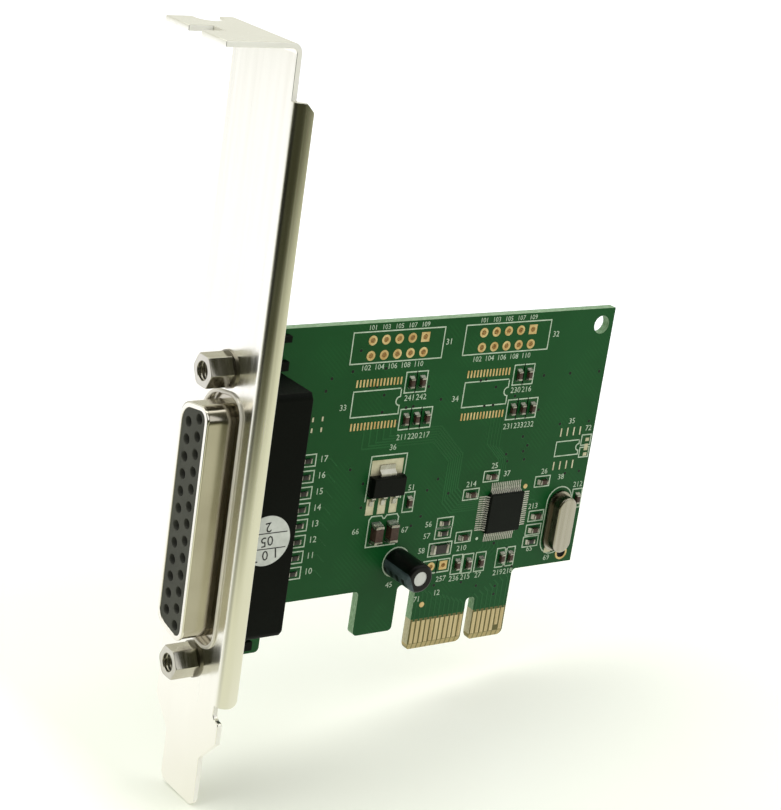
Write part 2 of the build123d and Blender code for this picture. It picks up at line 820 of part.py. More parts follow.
def chip(place, size, end, upright):
    """Body and two end caps of a chip part lying on the board."""
    length, width, height = size
    half_body = length / 2 - end
    body = Box(2 * half_body, height - 2 * end_wrap, width - 2 * end_wrap)
    caps = [Pos(side * (length - end) / 2, 0, 0) * Box(end, height, width) for side in (-1, 1)]
    turn = Rot(0, 90, 0) if upright else Rot(0, 0, 0)
    seat = Pos(place[0], board_face_y - height / 2, place[1]) * turn
    return seat * body, [seat * cap for cap in caps]


def chip_group(places, size, end, upright):
    """Bodies and ends of several chips alike."""
    bodies, ends = [], []
    for place in places:
        body, caps = chip(place, size, end, upright)
        bodies.append(body)
        ends += caps
    return bodies, ends


def bypass_places():
    """Chips in the short rows beside the two empty circuit outlines."""
    rows = zip(bypass_row_starts, bypass_row_counts)
    return [(x + i * row_pitch, z) for (x, z), count in rows for i in range(count)]


def make_chips():
    """All chip parts, by kind."""
    upright = chip_group(bypass_places() + list(upright_chips), chip_size, chip_end, True)
    level = chip_group(level_chips, chip_size, chip_end, False)
    heights = [series_resistor_top - i * series_resistor_pitch for i in range(series_resistor_count)]
    column = [(series_resistor_x, z) for z in heights]
    resistors = chip_group(column + list(level_resistors), resistor_size, chip_end, False)
    filter_places = [(filter_x + i * filter_pitch, filter_z) for i in range(2)]
    filters = chip_group(filter_places, filter_size, filter_end, True)
    shunt = chip_group([shunt_place], shunt_size, shunt_end, False)
    return {
        "chip_capacitors": Compound(children=upright[0] + level[0]),
        "chip_capacitor_ends": Compound(children=upright[1] + level[1]),
        "chip_resistors": Compound(children=resistors[0]),
        "chip_resistor_ends": Compound(children=resistors[1]),
        "filter_capacitors": Compound(children=filters[0]),
        "filter_capacitor_ends": Compound(children=filters[1]),
        "shunt_resistor": shunt[0][0],
        "shunt_resistor_ends": Compound(children=shunt[1]),
    }


nodes = {
    "bracket": make_bracket(),
    "circuit_board": make_board(),
    "edge_contacts": make_edge_contacts(),
    "port_shell": make_port_shell(),
    "port_insulator": make_insulator(),
    "port_housing": make_housing(),
    "port_contacts": make_port_contacts(),
    "port_ears": make_ears(),
    "threaded_inserts": make_inserts(),
    "jackscrews": make_jackscrews(),
    "jackscrew_washers": make_washers(),
    "inspection_sticker": make_sticker(),
    "controller_body": make_controller_body(),
    "controller_leads": make_controller_leads(),
    "regulator_body": make_regulator_body(),
    "regulator_leads": make_regulator_leads(),
    "crystal_can": make_crystal_can(),
    "crystal_base": make_crystal_base(),
    "electrolytic_can": make_electrolytic_can(),
    "electrolytic_sleeve": make_electrolytic_sleeve(),
    "electrolytic_bung": make_electrolytic_bung(),
    "electrolytic_leads": make_electrolytic_leads(),
}
nodes.update(make_chips())

os.makedirs("parts", exist_ok=True)
for name, shape in nodes.items():
    export_step(shape, f"parts/{name}.step")
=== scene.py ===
import math

import bmesh
import bpy
from mathutils import Matrix, Vector


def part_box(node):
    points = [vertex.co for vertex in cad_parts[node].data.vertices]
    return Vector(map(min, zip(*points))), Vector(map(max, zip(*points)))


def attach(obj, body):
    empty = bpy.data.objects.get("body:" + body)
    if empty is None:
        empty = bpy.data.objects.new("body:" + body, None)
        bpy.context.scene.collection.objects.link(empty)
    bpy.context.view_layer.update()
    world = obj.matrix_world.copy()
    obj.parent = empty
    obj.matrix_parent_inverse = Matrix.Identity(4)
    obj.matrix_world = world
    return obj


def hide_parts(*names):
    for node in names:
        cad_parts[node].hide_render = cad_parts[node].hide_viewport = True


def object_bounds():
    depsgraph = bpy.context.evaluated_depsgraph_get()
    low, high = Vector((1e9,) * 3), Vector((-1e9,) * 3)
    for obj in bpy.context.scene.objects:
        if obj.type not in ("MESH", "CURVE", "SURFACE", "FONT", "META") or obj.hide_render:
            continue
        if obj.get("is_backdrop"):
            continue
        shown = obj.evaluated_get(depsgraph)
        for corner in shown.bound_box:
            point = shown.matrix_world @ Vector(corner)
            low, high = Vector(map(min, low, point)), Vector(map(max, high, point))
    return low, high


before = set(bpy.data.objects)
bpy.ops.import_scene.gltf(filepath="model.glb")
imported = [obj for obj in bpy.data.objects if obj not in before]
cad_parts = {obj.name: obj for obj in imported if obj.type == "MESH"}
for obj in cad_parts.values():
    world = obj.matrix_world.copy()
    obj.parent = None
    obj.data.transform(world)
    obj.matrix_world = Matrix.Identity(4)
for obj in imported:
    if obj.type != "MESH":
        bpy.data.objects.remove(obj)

MM = 0.001
BODY = "root"
cad_low, cad_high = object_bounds()


def deselect():
    """Lets go of every object."""
    bpy.ops.object.select_all(action="DESELECT")


def tone(code):
    """A printed colour, given as six hex digits, in the renderer's linear values."""
    shares = [int(code[i : i + 2], 16) / 255 for i in (0, 2, 4)]
    return tuple(v / 12.92 if v <= 0.04045 else ((v + 0.055) / 1.055) ** 2.4 for v in shares)


def finish(name, color, roughness, metallic=0.0, specular=0.5):
    """A surface finish with its own colour, roughness, metal and strength of gloss."""
    material = bpy.data.materials.new(name)
    material.use_nodes = True
    shader = material.node_tree.nodes["Principled BSDF"]
    shader.inputs["Base Color"].default_value = (*tone(color), 1)
    shader.inputs["Roughness"].default_value = roughness
    shader.inputs["Metallic"].default_value = metallic
    shader.inputs["Specular IOR Level"].default_value = specular
    return material, shader


def link(material, source, target):
    """Leads one step of a finish into the next."""
    material.node_tree.links.new(source, target)


def new_step(material, kind):
    """An empty step of the given kind in a finish."""
    return material.node_tree.nodes.new("ShaderNode" + kind)


def calc(material, operation, first, second=0.0, clamp=False):
    """One step of arithmetic on the surface's own coordinates or patterns."""
    step = new_step(material, "Math")
    step.operation = operation
    step.use_clamp = clamp
    for socket, value in zip(step.inputs, (first, second)):
        if isinstance(value, (int, float)):
            socket.default_value = value
        else:
            link(material, value, socket)
    return step.outputs[0]


def split_axes(material, vector):
    """The three parts of a place or a direction."""
    split = new_step(material, "SeparateXYZ")
    link(material, vector, split.inputs[0])
    return split.outputs


def place_on(material):
    """The place on the object along each axis, in metres."""
    return split_axes(material, new_step(material, "TexCoord").outputs["Object"])


def facing(material):
    """How far the surface faces along each axis."""
    return split_axes(material, new_step(material, "NewGeometry").outputs["Normal"])


def grain(material, per_metre, detail=4.0, stretch=(1, 1, 1)):
    """Noise that is stretched along the way the surface was worked."""
    mapping = new_step(material, "Mapping")
    mapping.inputs["Scale"].default_value = stretch
    link(material, new_step(material, "TexCoord").outputs["Object"], mapping.inputs["Vector"])
    noise = new_step(material, "TexNoise")
    noise.inputs["Scale"].default_value = per_metre
    noise.inputs["Detail"].default_value = detail
    link(material, mapping.outputs[0], noise.inputs["Vector"])
    return noise.outputs[0]


def spread(material, source, low, high, from_low=0.3, from_high=0.7):
    """A pattern brought to a new range."""
    ranged = new_step(material, "MapRange")
    link(material, source, ranged.inputs["Value"])
    for key, value in (("From Min", from_low), ("From Max", from_high), ("To Min", low), ("To Max", high)):
        ranged.inputs[key].default_value = value
    return ranged.outputs[0]


def blend_tones(material, share, first, second):
    """Two tones, or two mixes of tones, in the given share."""
    mix = new_step(material, "Mix")
    mix.data_type = "RGBA"
    link(material, share, mix.inputs["Factor"])
    color_sockets = [socket for socket in mix.inputs if socket.type == "RGBA"]
    for socket, value in zip(color_sockets, (first, second)):
        if isinstance(value, str):
            socket.default_value = (*tone(value), 1)
        else:
            link(material, value, socket)
    return next(socket for socket in mix.outputs if socket.type == "RGBA")


def paint(material, shader, share, first, second):
    """Colours a finish with two tones in the given share."""
    link(material, blend_tones(material, share, first, second), shader.inputs["Base Color"])


def wear(material, shader, pattern, low, high):
    """Roughness that follows a pattern between two values."""
    link(material, spread(material, pattern, low, high), shader.inputs["Roughness"])


def relief(material, shader, source, depth):
    """Fine relief of the given depth in metres."""
    bump = new_step(material, "Bump")
    bump.inputs["Distance"].default_value = depth
    link(material, source, bump.inputs["Height"])
    link(material, bump.outputs[0], shader.inputs["Normal"])


deselect()
MERGE_DISTANCE = 0.001 * MM
FLAT_ANGLE = math.radians(1)
SMOOTH_ANGLE = math.radians(50)


def softened(node, material, width, sharp=35, reshape=None):
    """Replaces a modelled node by a copy with its sharp edges slightly rounded, as on the real one."""
    piece = bpy.data.objects.new(node + "_soft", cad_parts[node].data.copy())
    bpy.context.scene.collection.objects.link(piece)
    bpy.context.view_layer.objects.active = piece
    piece.select_set(True)
    bpy.ops.object.mode_set(mode="EDIT")
    bpy.ops.mesh.select_all(action="SELECT")
    bpy.ops.mesh.remove_doubles(threshold=MERGE_DISTANCE)
    bpy.ops.mesh.dissolve_limited(angle_limit=FLAT_ANGLE)
    bpy.ops.object.mode_set(mode="OBJECT")
    if reshape:
        reshape(piece.data)
    rounding = piece.modifiers.new("rounding", "BEVEL")
    rounding.width = width * MM
    rounding.segments = 2
    rounding.limit_method = "ANGLE"
    rounding.angle_limit = math.radians(sharp)
    rounding.use_clamp_overlap = False
    bpy.ops.object.modifier_apply(modifier="rounding")
    bpy.ops.object.shade_smooth_by_angle(angle=SMOOTH_ANGLE)
    flats = piece.modifiers.new("flats", "WEIGHTED_NORMAL")
    flats.keep_sharp = True
    bpy.ops.object.modifier_apply(modifier="flats")
    piece.data.materials.clear()
    piece.data.materials.append(material)
    piece.select_set(False)
    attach(piece, BODY)
    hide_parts(node)


PORT_FLANGE_SHEET = 0.5 * MM
PLATE_BACK_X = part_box("port_shell")[1].x - PORT_FLANGE_SHEET
TAB_FOLD = 1.7 * MM
TAB_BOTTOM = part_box("bracket")[1].z - TAB_FOLD
FLANGE_START = -56.37 * MM
FLANGE_END = -55.03 * MM
CROWN_RADIUS = 11 * MM
BRUSH_DEPTH = 0.002 * MM
SQUARE_ON = 0.9
SHEARED_DULLER = 0.4
SHEARED_BARER = 0.7


def brushed_nickel():
    material, shader = finish("brushed_nickel", "fefcf6", 0.2, 1.0)
    x, _, z = place_on(material)
    brush = grain(material, 900, 3.0, (1, 1, 0.02))
    cloud = grain(material, 60, 3.0)
    tones = blend_tones(material, spread(material, cloud, 0, 1), "faf8f1", "fffef8")
    way = facing(material)
    # Faces that point down, under the tab, are painted a darker grey: painted shade.
    tab_underside_painted_shade = calc(material, "LESS_THAN", way["Z"], -SQUARE_ON)
    paint(material, shader, tab_underside_painted_shade, tones, "dedfd4")
    sideways = calc(material, "GREATER_THAN", calc(material, "ABSOLUTE", way["Y"]), SQUARE_ON)
    on_plate = calc(material, "LESS_THAN", x, PLATE_BACK_X)
    on_tab = calc(material, "GREATER_THAN", z, TAB_BOTTOM)
    sheared = calc(material, "MULTIPLY", sideways, calc(material, "MAXIMUM", on_plate, on_tab))
    worn = calc(material, "ADD", spread(material, cloud, 0.0, 0.06), spread(material, brush, 0.14, 0.24))
    worn = calc(material, "ADD", worn, calc(material, "MULTIPLY", sheared, SHEARED_DULLER))
    link(material, worn, shader.inputs["Roughness"])
    plated = calc(material, "SUBTRACT", 1.0, calc(material, "MULTIPLY", sheared, SHEARED_BARER))
    link(material, plated, shader.inputs["Metallic"])
    over_flange = calc(material, "MAXIMUM", x, FLANGE_START)
    over_flange = calc(material, "MINIMUM", over_flange, FLANGE_END)
    off = calc(material, "SUBTRACT", over_flange, (FLANGE_START + FLANGE_END) / 2)
    crown = calc(material, "MULTIPLY", calc(material, "MULTIPLY", off, off), -0.5 / CROWN_RADIUS)
    height = calc(material, "ADD", crown, calc(material, "MULTIPLY", brush, BRUSH_DEPTH))
    relief(material, shader, height, 1.0)
    return material


softened("bracket", brushed_nickel(), width=0.1)

# The circuit board: glass-fibre laminate under a green solder mask. Its sawn edges and the
# zone round the plated fingers show the bare, paler laminate, with the weave of the glass
# cloth just visible under the mask.
face_y, back_y = (corner.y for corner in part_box("circuit_board"))
MASK_EDGE = 0.04 * MM
FINGER_ZONE_TOP = 5.7 * MM
WEAVE_PITCH = 0.6 * MM
HATCH_PITCH = 0.85 * MM
BEVEL_TOP = 1.1 * MM
PAD_HALF_SHARE = 0.36
WEAVE_DEPTH = 0.0000015


def dress(node, material):
    """Gives a modelled node its finish."""
    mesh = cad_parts[node].data
    mesh.materials.clear()
    mesh.materials.append(material)


def masked_laminate():
    material, shader = finish("masked_laminate", "0e461c", 0.4, specular=0.2)
    x, y, z = place_on(material)
    cloud = grain(material, 45, 4.0)
    mask = blend_tones(material, spread(material, cloud, 0, 1), "0a461c", "0f5023")
    leaning = calc(material, "ADD", x, z)
    stripes = calc(material, "SINE", calc(material, "MULTIPLY", leaning, math.tau / HATCH_PITCH))
    patches = spread(material, grain(material, 140, 2.0), 0, 0.35, 0.5, 0.6)
    hatch = calc(material, "MULTIPLY", spread(material, stripes, 0, 1, -0.2, 0.6), patches)
    mask = blend_tones(material, hatch, mask, "185a28")
    edge = grain(material, 1400, 3.0, (1, 6, 1))
    laminate = blend_tones(material, spread(material, edge, 0, 1), "5d8356", "9dbd98")
    bare_edge = blend_tones(material, spread(material, edge, 0, 1), "a79f78", "d3cca9")
    depth = calc(material, "ABSOLUTE", y)
    cut = calc(material, "LESS_THAN", depth, back_y - MASK_EDGE)
    low = calc(material, "LESS_THAN", z, FINGER_ZONE_TOP)
    inside = calc(material, "GREATER_THAN", x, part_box("edge_contacts")[0].x - MM)
    bare = calc(material, "MULTIPLY", low, inside)
    surface = blend_tones(material, bare, mask, "67633a")
    laminate = blend_tones(material, bare, laminate, bare_edge)
    surface = blend_tones(material, cut, surface, laminate)
    tip = calc(material, "MULTIPLY", inside, calc(material, "LESS_THAN", z, BEVEL_TOP))
    cell = calc(material, "FRACT", calc(material, "DIVIDE", x, MM))
    off_middle = calc(material, "ABSOLUTE", calc(material, "SUBTRACT", cell, 0.5))
    on_pad = calc(material, "LESS_THAN", off_middle, PAD_HALF_SHARE)
    worn_tip = blend_tones(material, on_pad, "8a8250", "b8a672")
    paint(material, shader, tip, surface, worn_tip)
    wave = math.tau / WEAVE_PITCH
    across = calc(material, "SINE", calc(material, "MULTIPLY", x, wave))
    along = calc(material, "SINE", calc(material, "MULTIPLY", z, wave))
    relief(material, shader, calc(material, "MULTIPLY", across, along), WEAVE_DEPTH)
    wear(material, shader, cloud, 0.3, 0.42)
    return material


dress("circuit_board", masked_laminate())

# Copper under the mask and the pads left bare of it: traces and rings are etched from one foil,
# so each stands a few hundredths of a millimetre above the laminate. The traces show as
# slightly paler green lines.
TRACE_RISE = 0.02
TRACE_WIDTH = 0.25
FINE_TRACE = 0.18
LAP = 0.08
VIA_PLACES = (
    (-35.9, 48.3), (-35.1, 50.3), (-27.6, 48.4), (-26.2, 48.3), (-24.6, 46.8), (-24.5, 43.9),
    (-25.0, 51.3), (-31.3, 51.2), (-30.3, 54.6), (-19.9, 44.3), (-18.5, 44.4), (-16.0, 47.6),
    (-21.4, 42.0), (-13.1, 45.2), (-5.5, 47.9), (-4.4, 48.0), (-2.1, 46.5), (-3.9, 43.3),
    (-2.1, 43.3), (2.3, 44.6), (7.9, 41.7), (7.8, 47.8), (13.5, 47.8), (19.9, 47.7),
    (13.2, 38.7), (19.6, 38.7), (5.5, 37.1), (6.8, 35.4), (6.1, 34.4), (6.6, 32.9),
    (3.0, 32.9), (2.5, 34.2), (-11.1, 31.1), (-13.0, 29.3), (-8.5, 28.3), (-15.2, 23.2),
    (-13.5, 24.7), (-9.5, 13.0), (-8.4, 11.6), (-2.7, 11.4), (0.7, 10.3), (4.9, 9.7),
    (4.9, 8.2), (7.9, 13.0), (3.1, 17.9), (14.2, 17.3), (16.3, 29.4), (19.4, 29.5),
    (-20.8, 32.6), (-25.9, 27.6), (-26.2, 31.8), (-23.8, 26.6), (-29.1, 34.5),
)


def start_layer(name):
    """An empty piece, open for adding shapes."""
    deselect()
    bpy.ops.mesh.primitive_cube_add(size=MM)
    layer = bpy.context.object
    layer.name = name
    bpy.ops.object.mode_set(mode="EDIT")
    bpy.ops.mesh.select_all(action="SELECT")
    bpy.ops.mesh.delete(type="VERT")
    return layer


def finish_layer(layer, material):
    """Closes a piece, gives it its finish and lets it ride on the card."""
    bpy.ops.object.mode_set(mode="OBJECT")
    layer.data.materials.append(material)
    layer.select_set(False)
    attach(layer, BODY)


def bar(x, z, width, height, rise, turn=0.0, base=None):
    """A flat block on the board's face, sunk by as much as it stands up."""
    y = face_y if base is None else base
    size = Vector((width, 2 * rise, height)) * MM
    bpy.ops.mesh.primitive_cube_add(size=1, location=(x * MM, y, z * MM), rotation=(0, -turn, 0), scale=size)


def center_of(low, high):
    """The middle between two places, axis by axis."""
    return [(a + b) / 2 for a, b in zip(low, high)]


def stroke(start, end, width, rise, base=None):
    """A straight line printed or etched between two places on the board's face."""
    run, climb = end[0] - start[0], end[1] - start[1]
    length = math.hypot(run, climb) + width
    bar(*center_of(start, end), length, width, rise, math.atan2(climb, run), base)


def route(points, width, rise):
    """Straight lines from point to point, every second one slightly lower so that no faces coincide."""
    for i, (start, end) in enumerate(zip(points, points[1:])):
        stroke(start, end, width, rise * (1 - LAP * (i % 2)))


def solid_boxes(node):
    """The lowest and highest corner of each separate solid in a node."""
    mesh = bmesh.new()
    mesh.from_mesh(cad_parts[node].data)
    bmesh.ops.remove_doubles(mesh, verts=mesh.verts, dist=MERGE_DISTANCE)
    left = set(mesh.verts)
    boxes = []
    while left:
        edge_of_search = [left.pop()]
        found = list(edge_of_search)
        while edge_of_search:
            vertex = edge_of_search.pop()
            near = [e.other_vert(vertex) for e in vertex.link_edges]
            new = [v for v in near if v in left]
            left.difference_update(new)
            edge_of_search += new
            found += new
        axes = list(zip(*(v.co for v in found)))
        boxes.append((Vector([min(a) for a in axes]) / MM, Vector([max(a) for a in axes]) / MM))
    mesh.free()
    return sorted(boxes, key=lambda box: tuple(round(v, 2) for v in box[0]))


def mottled(name, color, roughness, metallic, pattern, tones, worn=None, depth=0, raw=False, specular=0.5):
    """A finish whose two tones follow one noise, as its roughness and its fine relief may."""
    material, shader = finish(name, color, roughness, metallic, specular)
    noise = grain(material, *pattern)
    paint(material, shader, noise if raw else spread(material, noise, 0, 1), *tones)
    if worn:
        wear(material, shader, noise, *worn)
    if depth:
        relief(material, shader, noise, depth)
    return material


def trace(*points, width=FINE_TRACE):
    """An etched line from point to point."""
    route(points, width, TRACE_RISE)


SIDE_ROWS = [36.84 - 2.763 * i for i in range(8)]
CIRCUIT_PITCH = 0.654
layer = start_layer("board_traces")
copper_tones = ("104e21", "185d2c")
copper_green = mottled("masked_copper", "22592f", 0.34, 0.0, (70, 3.0), copper_tones, specular=0.25)
for i in range(7):
    step = 0.45 * i
    level, column, end = 37.8 + step, -9.5 + step, 24.7 + 0.4 * i
    slant = 0.414 * step
    start = -27.5 + 2 * CIRCUIT_PITCH * i
    upper = ((start, 41.0), (start, level), (-13.2 + slant, level), (column, 34.1 + slant))
    trace(*upper, (column, end + 2.0), (column + 2.0, end), (-1.4, end), width=TRACE_WIDTH)
for z in SIDE_ROWS:
    trace((-36.2, z), (-33.2, z), (-31.8, z - 1.4))
for i in range(5):
    x = -2.0 + CIRCUIT_PITCH * i
    end = x + 3.0 - 0.2 * i
    trace((x, 41.0), (x, 36.5 - 0.2 * i), (end, 33.5), (end, 29.0))
for i in range(5):
    x = 0.7 + 0.8 * i
    trace((x, 19.0), (x, 17.6 - 0.2 * i), (x - 1.2, 16.4 - 0.2 * i))
for i in range(4):
    z = 21.6 + 1.2 * i
    trace((9.3, z), (10.2, z), (12.2, 20.4 + 1.2 * i))
for i in range(11):
    x, bend = -1.5 - i, 0.35 * i
    trace((x, 5.2), (x, 7.4 + bend), (x - 0.8, 8.2 + bend), width=TRACE_WIDTH)
for i in range(7):
    x, bend = 1.5 + i, 0.5 * i
    trace((x, 5.2), (x, 8.0 + bend), (x - 0.8, 8.8 + bend), width=TRACE_WIDTH)
finish_layer(layer, copper_green)

VIA_RADIUS = 0.4
VIA_RISE = 1.2 * TRACE_RISE
VIA_BORE = 0.28
WELL_RISE = 1.45 * TRACE_RISE


def disc(x, z, radius, rise, sides=16):
    """A flat round on the board's face."""
    size = {"vertices": sides, "radius": radius * MM, "depth": 2 * rise * MM}
    place = {"location": (x * MM, face_y, z * MM), "rotation": (math.pi / 2, 0, 0)}
    bpy.ops.mesh.primitive_cylinder_add(**size, **place)


layer = start_layer("via_rings")
for x, z in VIA_PLACES:
    disc(x, z, VIA_RADIUS, VIA_RISE)
finish_layer(layer, copper_green)

# Each via's bore is not cut. A near-black disc stands in for it: painted shade.
layer = start_layer("via_wells")
for x, z in VIA_PLACES:
    disc(x, z, VIA_BORE, WELL_RISE, 10)
well_painted_shade = mottled("via_well", "060906", 0.7, 0.0, (900,), ("040604", "0d120b"), raw=True)
finish_layer(layer, well_painted_shade)

PAD_RISE = 0.035
BARREL_INSIDE = 0.04
BARREL_OUTSIDE = 0.02
PAD_SUNK = 0.01
CORNER_RISE = 0.8 * PAD_RISE


def bare_pad(name, first, second, roughness):
    """Pads plated with a thin metal that takes on a slightly uneven tone."""
    worn = (roughness - 0.06, roughness + 0.1)
    return mottled(name, first, roughness, 0.35, (500, 3.0), (first, second), worn)


pad_gold = bare_pad("pad_gold", "c09a58", "e6cf94", 0.42)
pad_tin = bare_pad("pad_tin", "b9b492", "e2dcc0", 0.45)

HEADER_LEFTS = (-28.3, -6.4)
HEADER_TOP = 56.15
HEADER_PITCH = 2.54
HOLE_RADIUS = 0.5
HEADER_PAD = 0.82
LINK_HOLE = 0.45
LINK_PAD = 0.8
LINK_PLACES = ((-9.7, 15.15), (-7.16, 15.15))


def spun(x, z, profile):
    """A closed ring, spun from its (radius, depth) profile about an axis through the board."""
    bpy.ops.mesh.select_all(action="DESELECT")
    bpy.ops.mesh.primitive_circle_add(vertices=len(profile), radius=MM, location=(x * MM, 0, z * MM))
    edit = bmesh.from_edit_mesh(bpy.context.object.data)
    ring = sorted((v for v in edit.verts if v.select), key=lambda v: v.index)
    for vertex, (radius, y) in zip(ring, profile):
        vertex.co = ((x + radius) * MM, y * MM, z * MM)
    bmesh.update_edit_mesh(bpy.context.object.data)
    bpy.ops.mesh.spin(steps=24, angle=math.tau, center=(x * MM, 0, z * MM), axis=(0, 1, 0))


def plated_hole(x, z, hole_radius, pad_radius, square=False):
    """A plated barrel through the board with a pad on both faces."""
    low, high = face_y / MM, back_y / MM
    inside, outside = hole_radius - BARREL_INSIDE, hole_radius + BARREL_OUTSIDE
    near, far = low - PAD_RISE, high + PAD_RISE
    under, over = high - PAD_SUNK, low + PAD_SUNK
    spun(x, z, (
        (pad_radius, near), (inside, near), (inside, far), (pad_radius, far),
        (pad_radius, under), (outside, under), (outside, over), (pad_radius, over),
    ))
    if square:
        strip = pad_radius - hole_radius
        off = hole_radius + strip / 2
        for side in (-1, 1):
            bar(x, z + side * off, 2 * pad_radius, strip, CORNER_RISE)
            bar(x + side * off, z, strip, 2 * hole_radius, CORNER_RISE)


def tube(place, outer, inner, low, high):
    """A plain ring round an axis through the board."""
    spun(*place, ((outer, low), (inner, low), (inner, high), (outer, high)))


SPUN_MERGE = 0.0005 * MM


def close_spun():
    """Joins the seams of spun shapes and points their faces outwards."""
    bpy.ops.mesh.select_all(action="SELECT")
    bpy.ops.mesh.remove_doubles(threshold=SPUN_MERGE)
    bpy.ops.mesh.normals_make_consistent(inside=False)


layer = start_layer("header_pads")
for left in HEADER_LEFTS:
    for row in range(2):
        for column in range(5):
            last = row == 0 and column == 4
            x, z = left + column * HEADER_PITCH, HEADER_TOP - row * HEADER_PITCH
            plated_hole(x, z, HOLE_RADIUS, HEADER_PAD, last)
for i, (x, z) in enumerate(LINK_PLACES):
    plated_hole(x, z, LINK_HOLE, LINK_PAD, i == 1)
close_spun()
finish_layer(layer, pad_gold)

CIRCUIT_ROWS = ((-30.15, 49.05), (-30.15, 41.75), (-8.3, 49.1), (-8.3, 41.7))
CIRCUIT_PADS = 14
CIRCUIT_PAD_SIZE = (0.3, 1.25)
layer = start_layer("empty_circuit_pads")
for left, z in CIRCUIT_ROWS:
    for i in range(CIRCUIT_PADS):
        bar(left + CIRCUIT_PITCH * i, z, *CIRCUIT_PAD_SIZE, PAD_RISE)
finish_layer(layer, pad_gold)

SMALL_CIRCUIT_PITCH = 1.4
SMALL_CIRCUIT_PAD = (0.26, 1.5)
REGULATOR_X = -21.85
REGULATOR_PITCH = 2.3
layer = start_layer("bare_tin_pads")
for i in range(4):
    for x, z in ((13.8, 37.1), (13.4, 31.0)):
        bar(x + SMALL_CIRCUIT_PITCH * i, z, *SMALL_CIRCUIT_PAD, PAD_RISE)
for z in (35.3, 34.2, 33.6, 32.6):
    bar(20.0, z, 0.8, 0.6, PAD_RISE)
for x, z in ((-37.6, 41.9), (-35.8, 41.9), (-37.6, 43.7), (-35.8, 43.7)):
    bar(x, z, 0.3, 0.75, PAD_RISE)
for x, z, width, height in ((15.35, 15.3, 1.5, 1.1), (REGULATOR_X, 34.1, 6.2, 3.0)):
    bar(x, z, width, height, PAD_RISE)
for i in (-1, 0, 1):
    bar(REGULATOR_X + REGULATOR_PITCH * i, 27.5, 1.5, 2.8, PAD_RISE)
finish_layer(layer, pad_tin)

LEAD_PAD_WIDTH = 0.2
LEAD_PAD_LENGTH = 1.7
LEAD_PAD_SHIFT = 0.5
layer = start_layer("controller_pads")
body_x, _, body_z = center_of(*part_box("controller_body"))
for low, high in solid_boxes("controller_leads"):
    x, _, z = center_of(low, high)
    if high.x - low.x < high.z - low.z:
        shift = LEAD_PAD_SHIFT if z > body_z / MM else -LEAD_PAD_SHIFT
        bar(x, z + shift, LEAD_PAD_WIDTH, LEAD_PAD_LENGTH, PAD_RISE)
    else:
        shift = LEAD_PAD_SHIFT if x > body_x / MM else -LEAD_PAD_SHIFT
        bar(x + shift, z, LEAD_PAD_LENGTH, LEAD_PAD_WIDTH, PAD_RISE)
finish_layer(layer, bare_pad("pad_silver", "a5a396", "d2d0c4", 0.4))

PLAIN_HOLE = (18.6, 14.3)
PLAIN_RIM = (1.3, 0.92)
PLAIN_WALL = (0.91, 0.87)
layer = start_layer("round_pads")
disc(7.92, 27.86, 0.42, PAD_RISE, 24)
disc(-10.35, 8.3, 0.5, PAD_RISE, 24)
tube(PLAIN_HOLE, *PLAIN_RIM, face_y / MM - PAD_RISE, face_y / MM + PAD_SUNK)
close_spun()
finish_layer(layer, pad_gold)

# The plain hole's wall is near black: painted shade inside the hole.
layer = start_layer("plain_hole_wall")
tube(PLAIN_HOLE, *PLAIN_WALL, face_y / MM + 0.05, back_y / MM - 0.02)
close_spun()
finish_layer(layer, well_painted_shade)

# Solder: each chip end is wetted by a small bright fillet that climbs the metal and thins out
# on the pad. It sets with a smooth, slightly clouded skin.
FILLET_REACH = 0.3
FILLET_EDGE = 0.08
FILLET_CLIMB = 0.7
FILLET_SPREAD = 1.1
END_ASIDE = 0.1
END_APART = 3
END_NODES = ("chip_capacitor_ends", "chip_resistor_ends", "filter_capacitor_ends", "shunt_resistor_ends")
solder_tones = ("b0b0a8", "e2e2db")
solder = mottled("bright_solder", "b4b4ac", 0.4, 0.85, (700, 3.0), solder_tones, (0.16, 0.34), 0.00001)


def fillet(x, z, out_x, out_z, width, height):
    """A wedge of solder whose outer edge is drawn down to the pad in a straight slope."""
    across = Vector((abs(out_z), 0, abs(out_x))) * width
    along = Vector((abs(out_x), 0, abs(out_z))) * FILLET_REACH
    size = (across + along + Vector((0, height, 0))) * MM
    middle_x, middle_z = x + out_x * FILLET_REACH / 2, z + out_z * FILLET_REACH / 2
    spot = Vector((middle_x, face_y / MM - height / 2, middle_z)) * MM
    bpy.ops.mesh.select_all(action="DESELECT")
    bpy.ops.mesh.primitive_cube_add(size=1, location=spot, scale=size)
    edit = bmesh.from_edit_mesh(bpy.context.object.data)
    outward = Vector((out_x, 0, out_z))
    for vertex in edit.verts:
        if vertex.select and (vertex.co - spot).dot(outward) > 0 and vertex.co.y < spot.y:
            vertex.co.y = face_y - FILLET_EDGE * MM
    bmesh.update_edit_mesh(bpy.context.object.data)


layer = start_layer("solder_fillets")
for node in END_NODES:
    caps = solid_boxes(node)
    centers = [center_of(low, high) for low, high in caps]
    for (low, high), center in zip(caps, centers):
        size = [b - a for a, b in zip(low, high)]
        along, aside = (2, 0) if size[0] > size[2] else (0, 2)
        mates = [c for c in centers if abs(c[aside] - center[aside]) < END_ASIDE]
        mates = [c[along] for c in mates if abs(c[along] - center[along]) < END_APART]
        side = 1 if center[along] > sum(mates) / len(mates) else -1
        spot = list(center)
        spot[along] = high[along] if side > 0 else low[along]
        out_x, out_z = (0, side) if along == 2 else (side, 0)
        fillet(spot[0], spot[2], out_x, out_z, size[aside] * FILLET_SPREAD, FILLET_CLIMB * size[1])
finish_layer(layer, solder)

# The printed legend: thin lines of pale ink round each piece and each empty place, and plain
# reference numbers beside them, screened on over the mask.
INK_RISE = 0.027
INK_WIDTH = 0.2
ink = mottled("screen_ink", "b4c4ae", 0.6, 0.0, (800, 3.0), ("a6baa0", "c4d2be"), specular=0.3)


def ink_line(*points):
    """A printed line from point to point."""
    route(points, INK_WIDTH, INK_RISE)


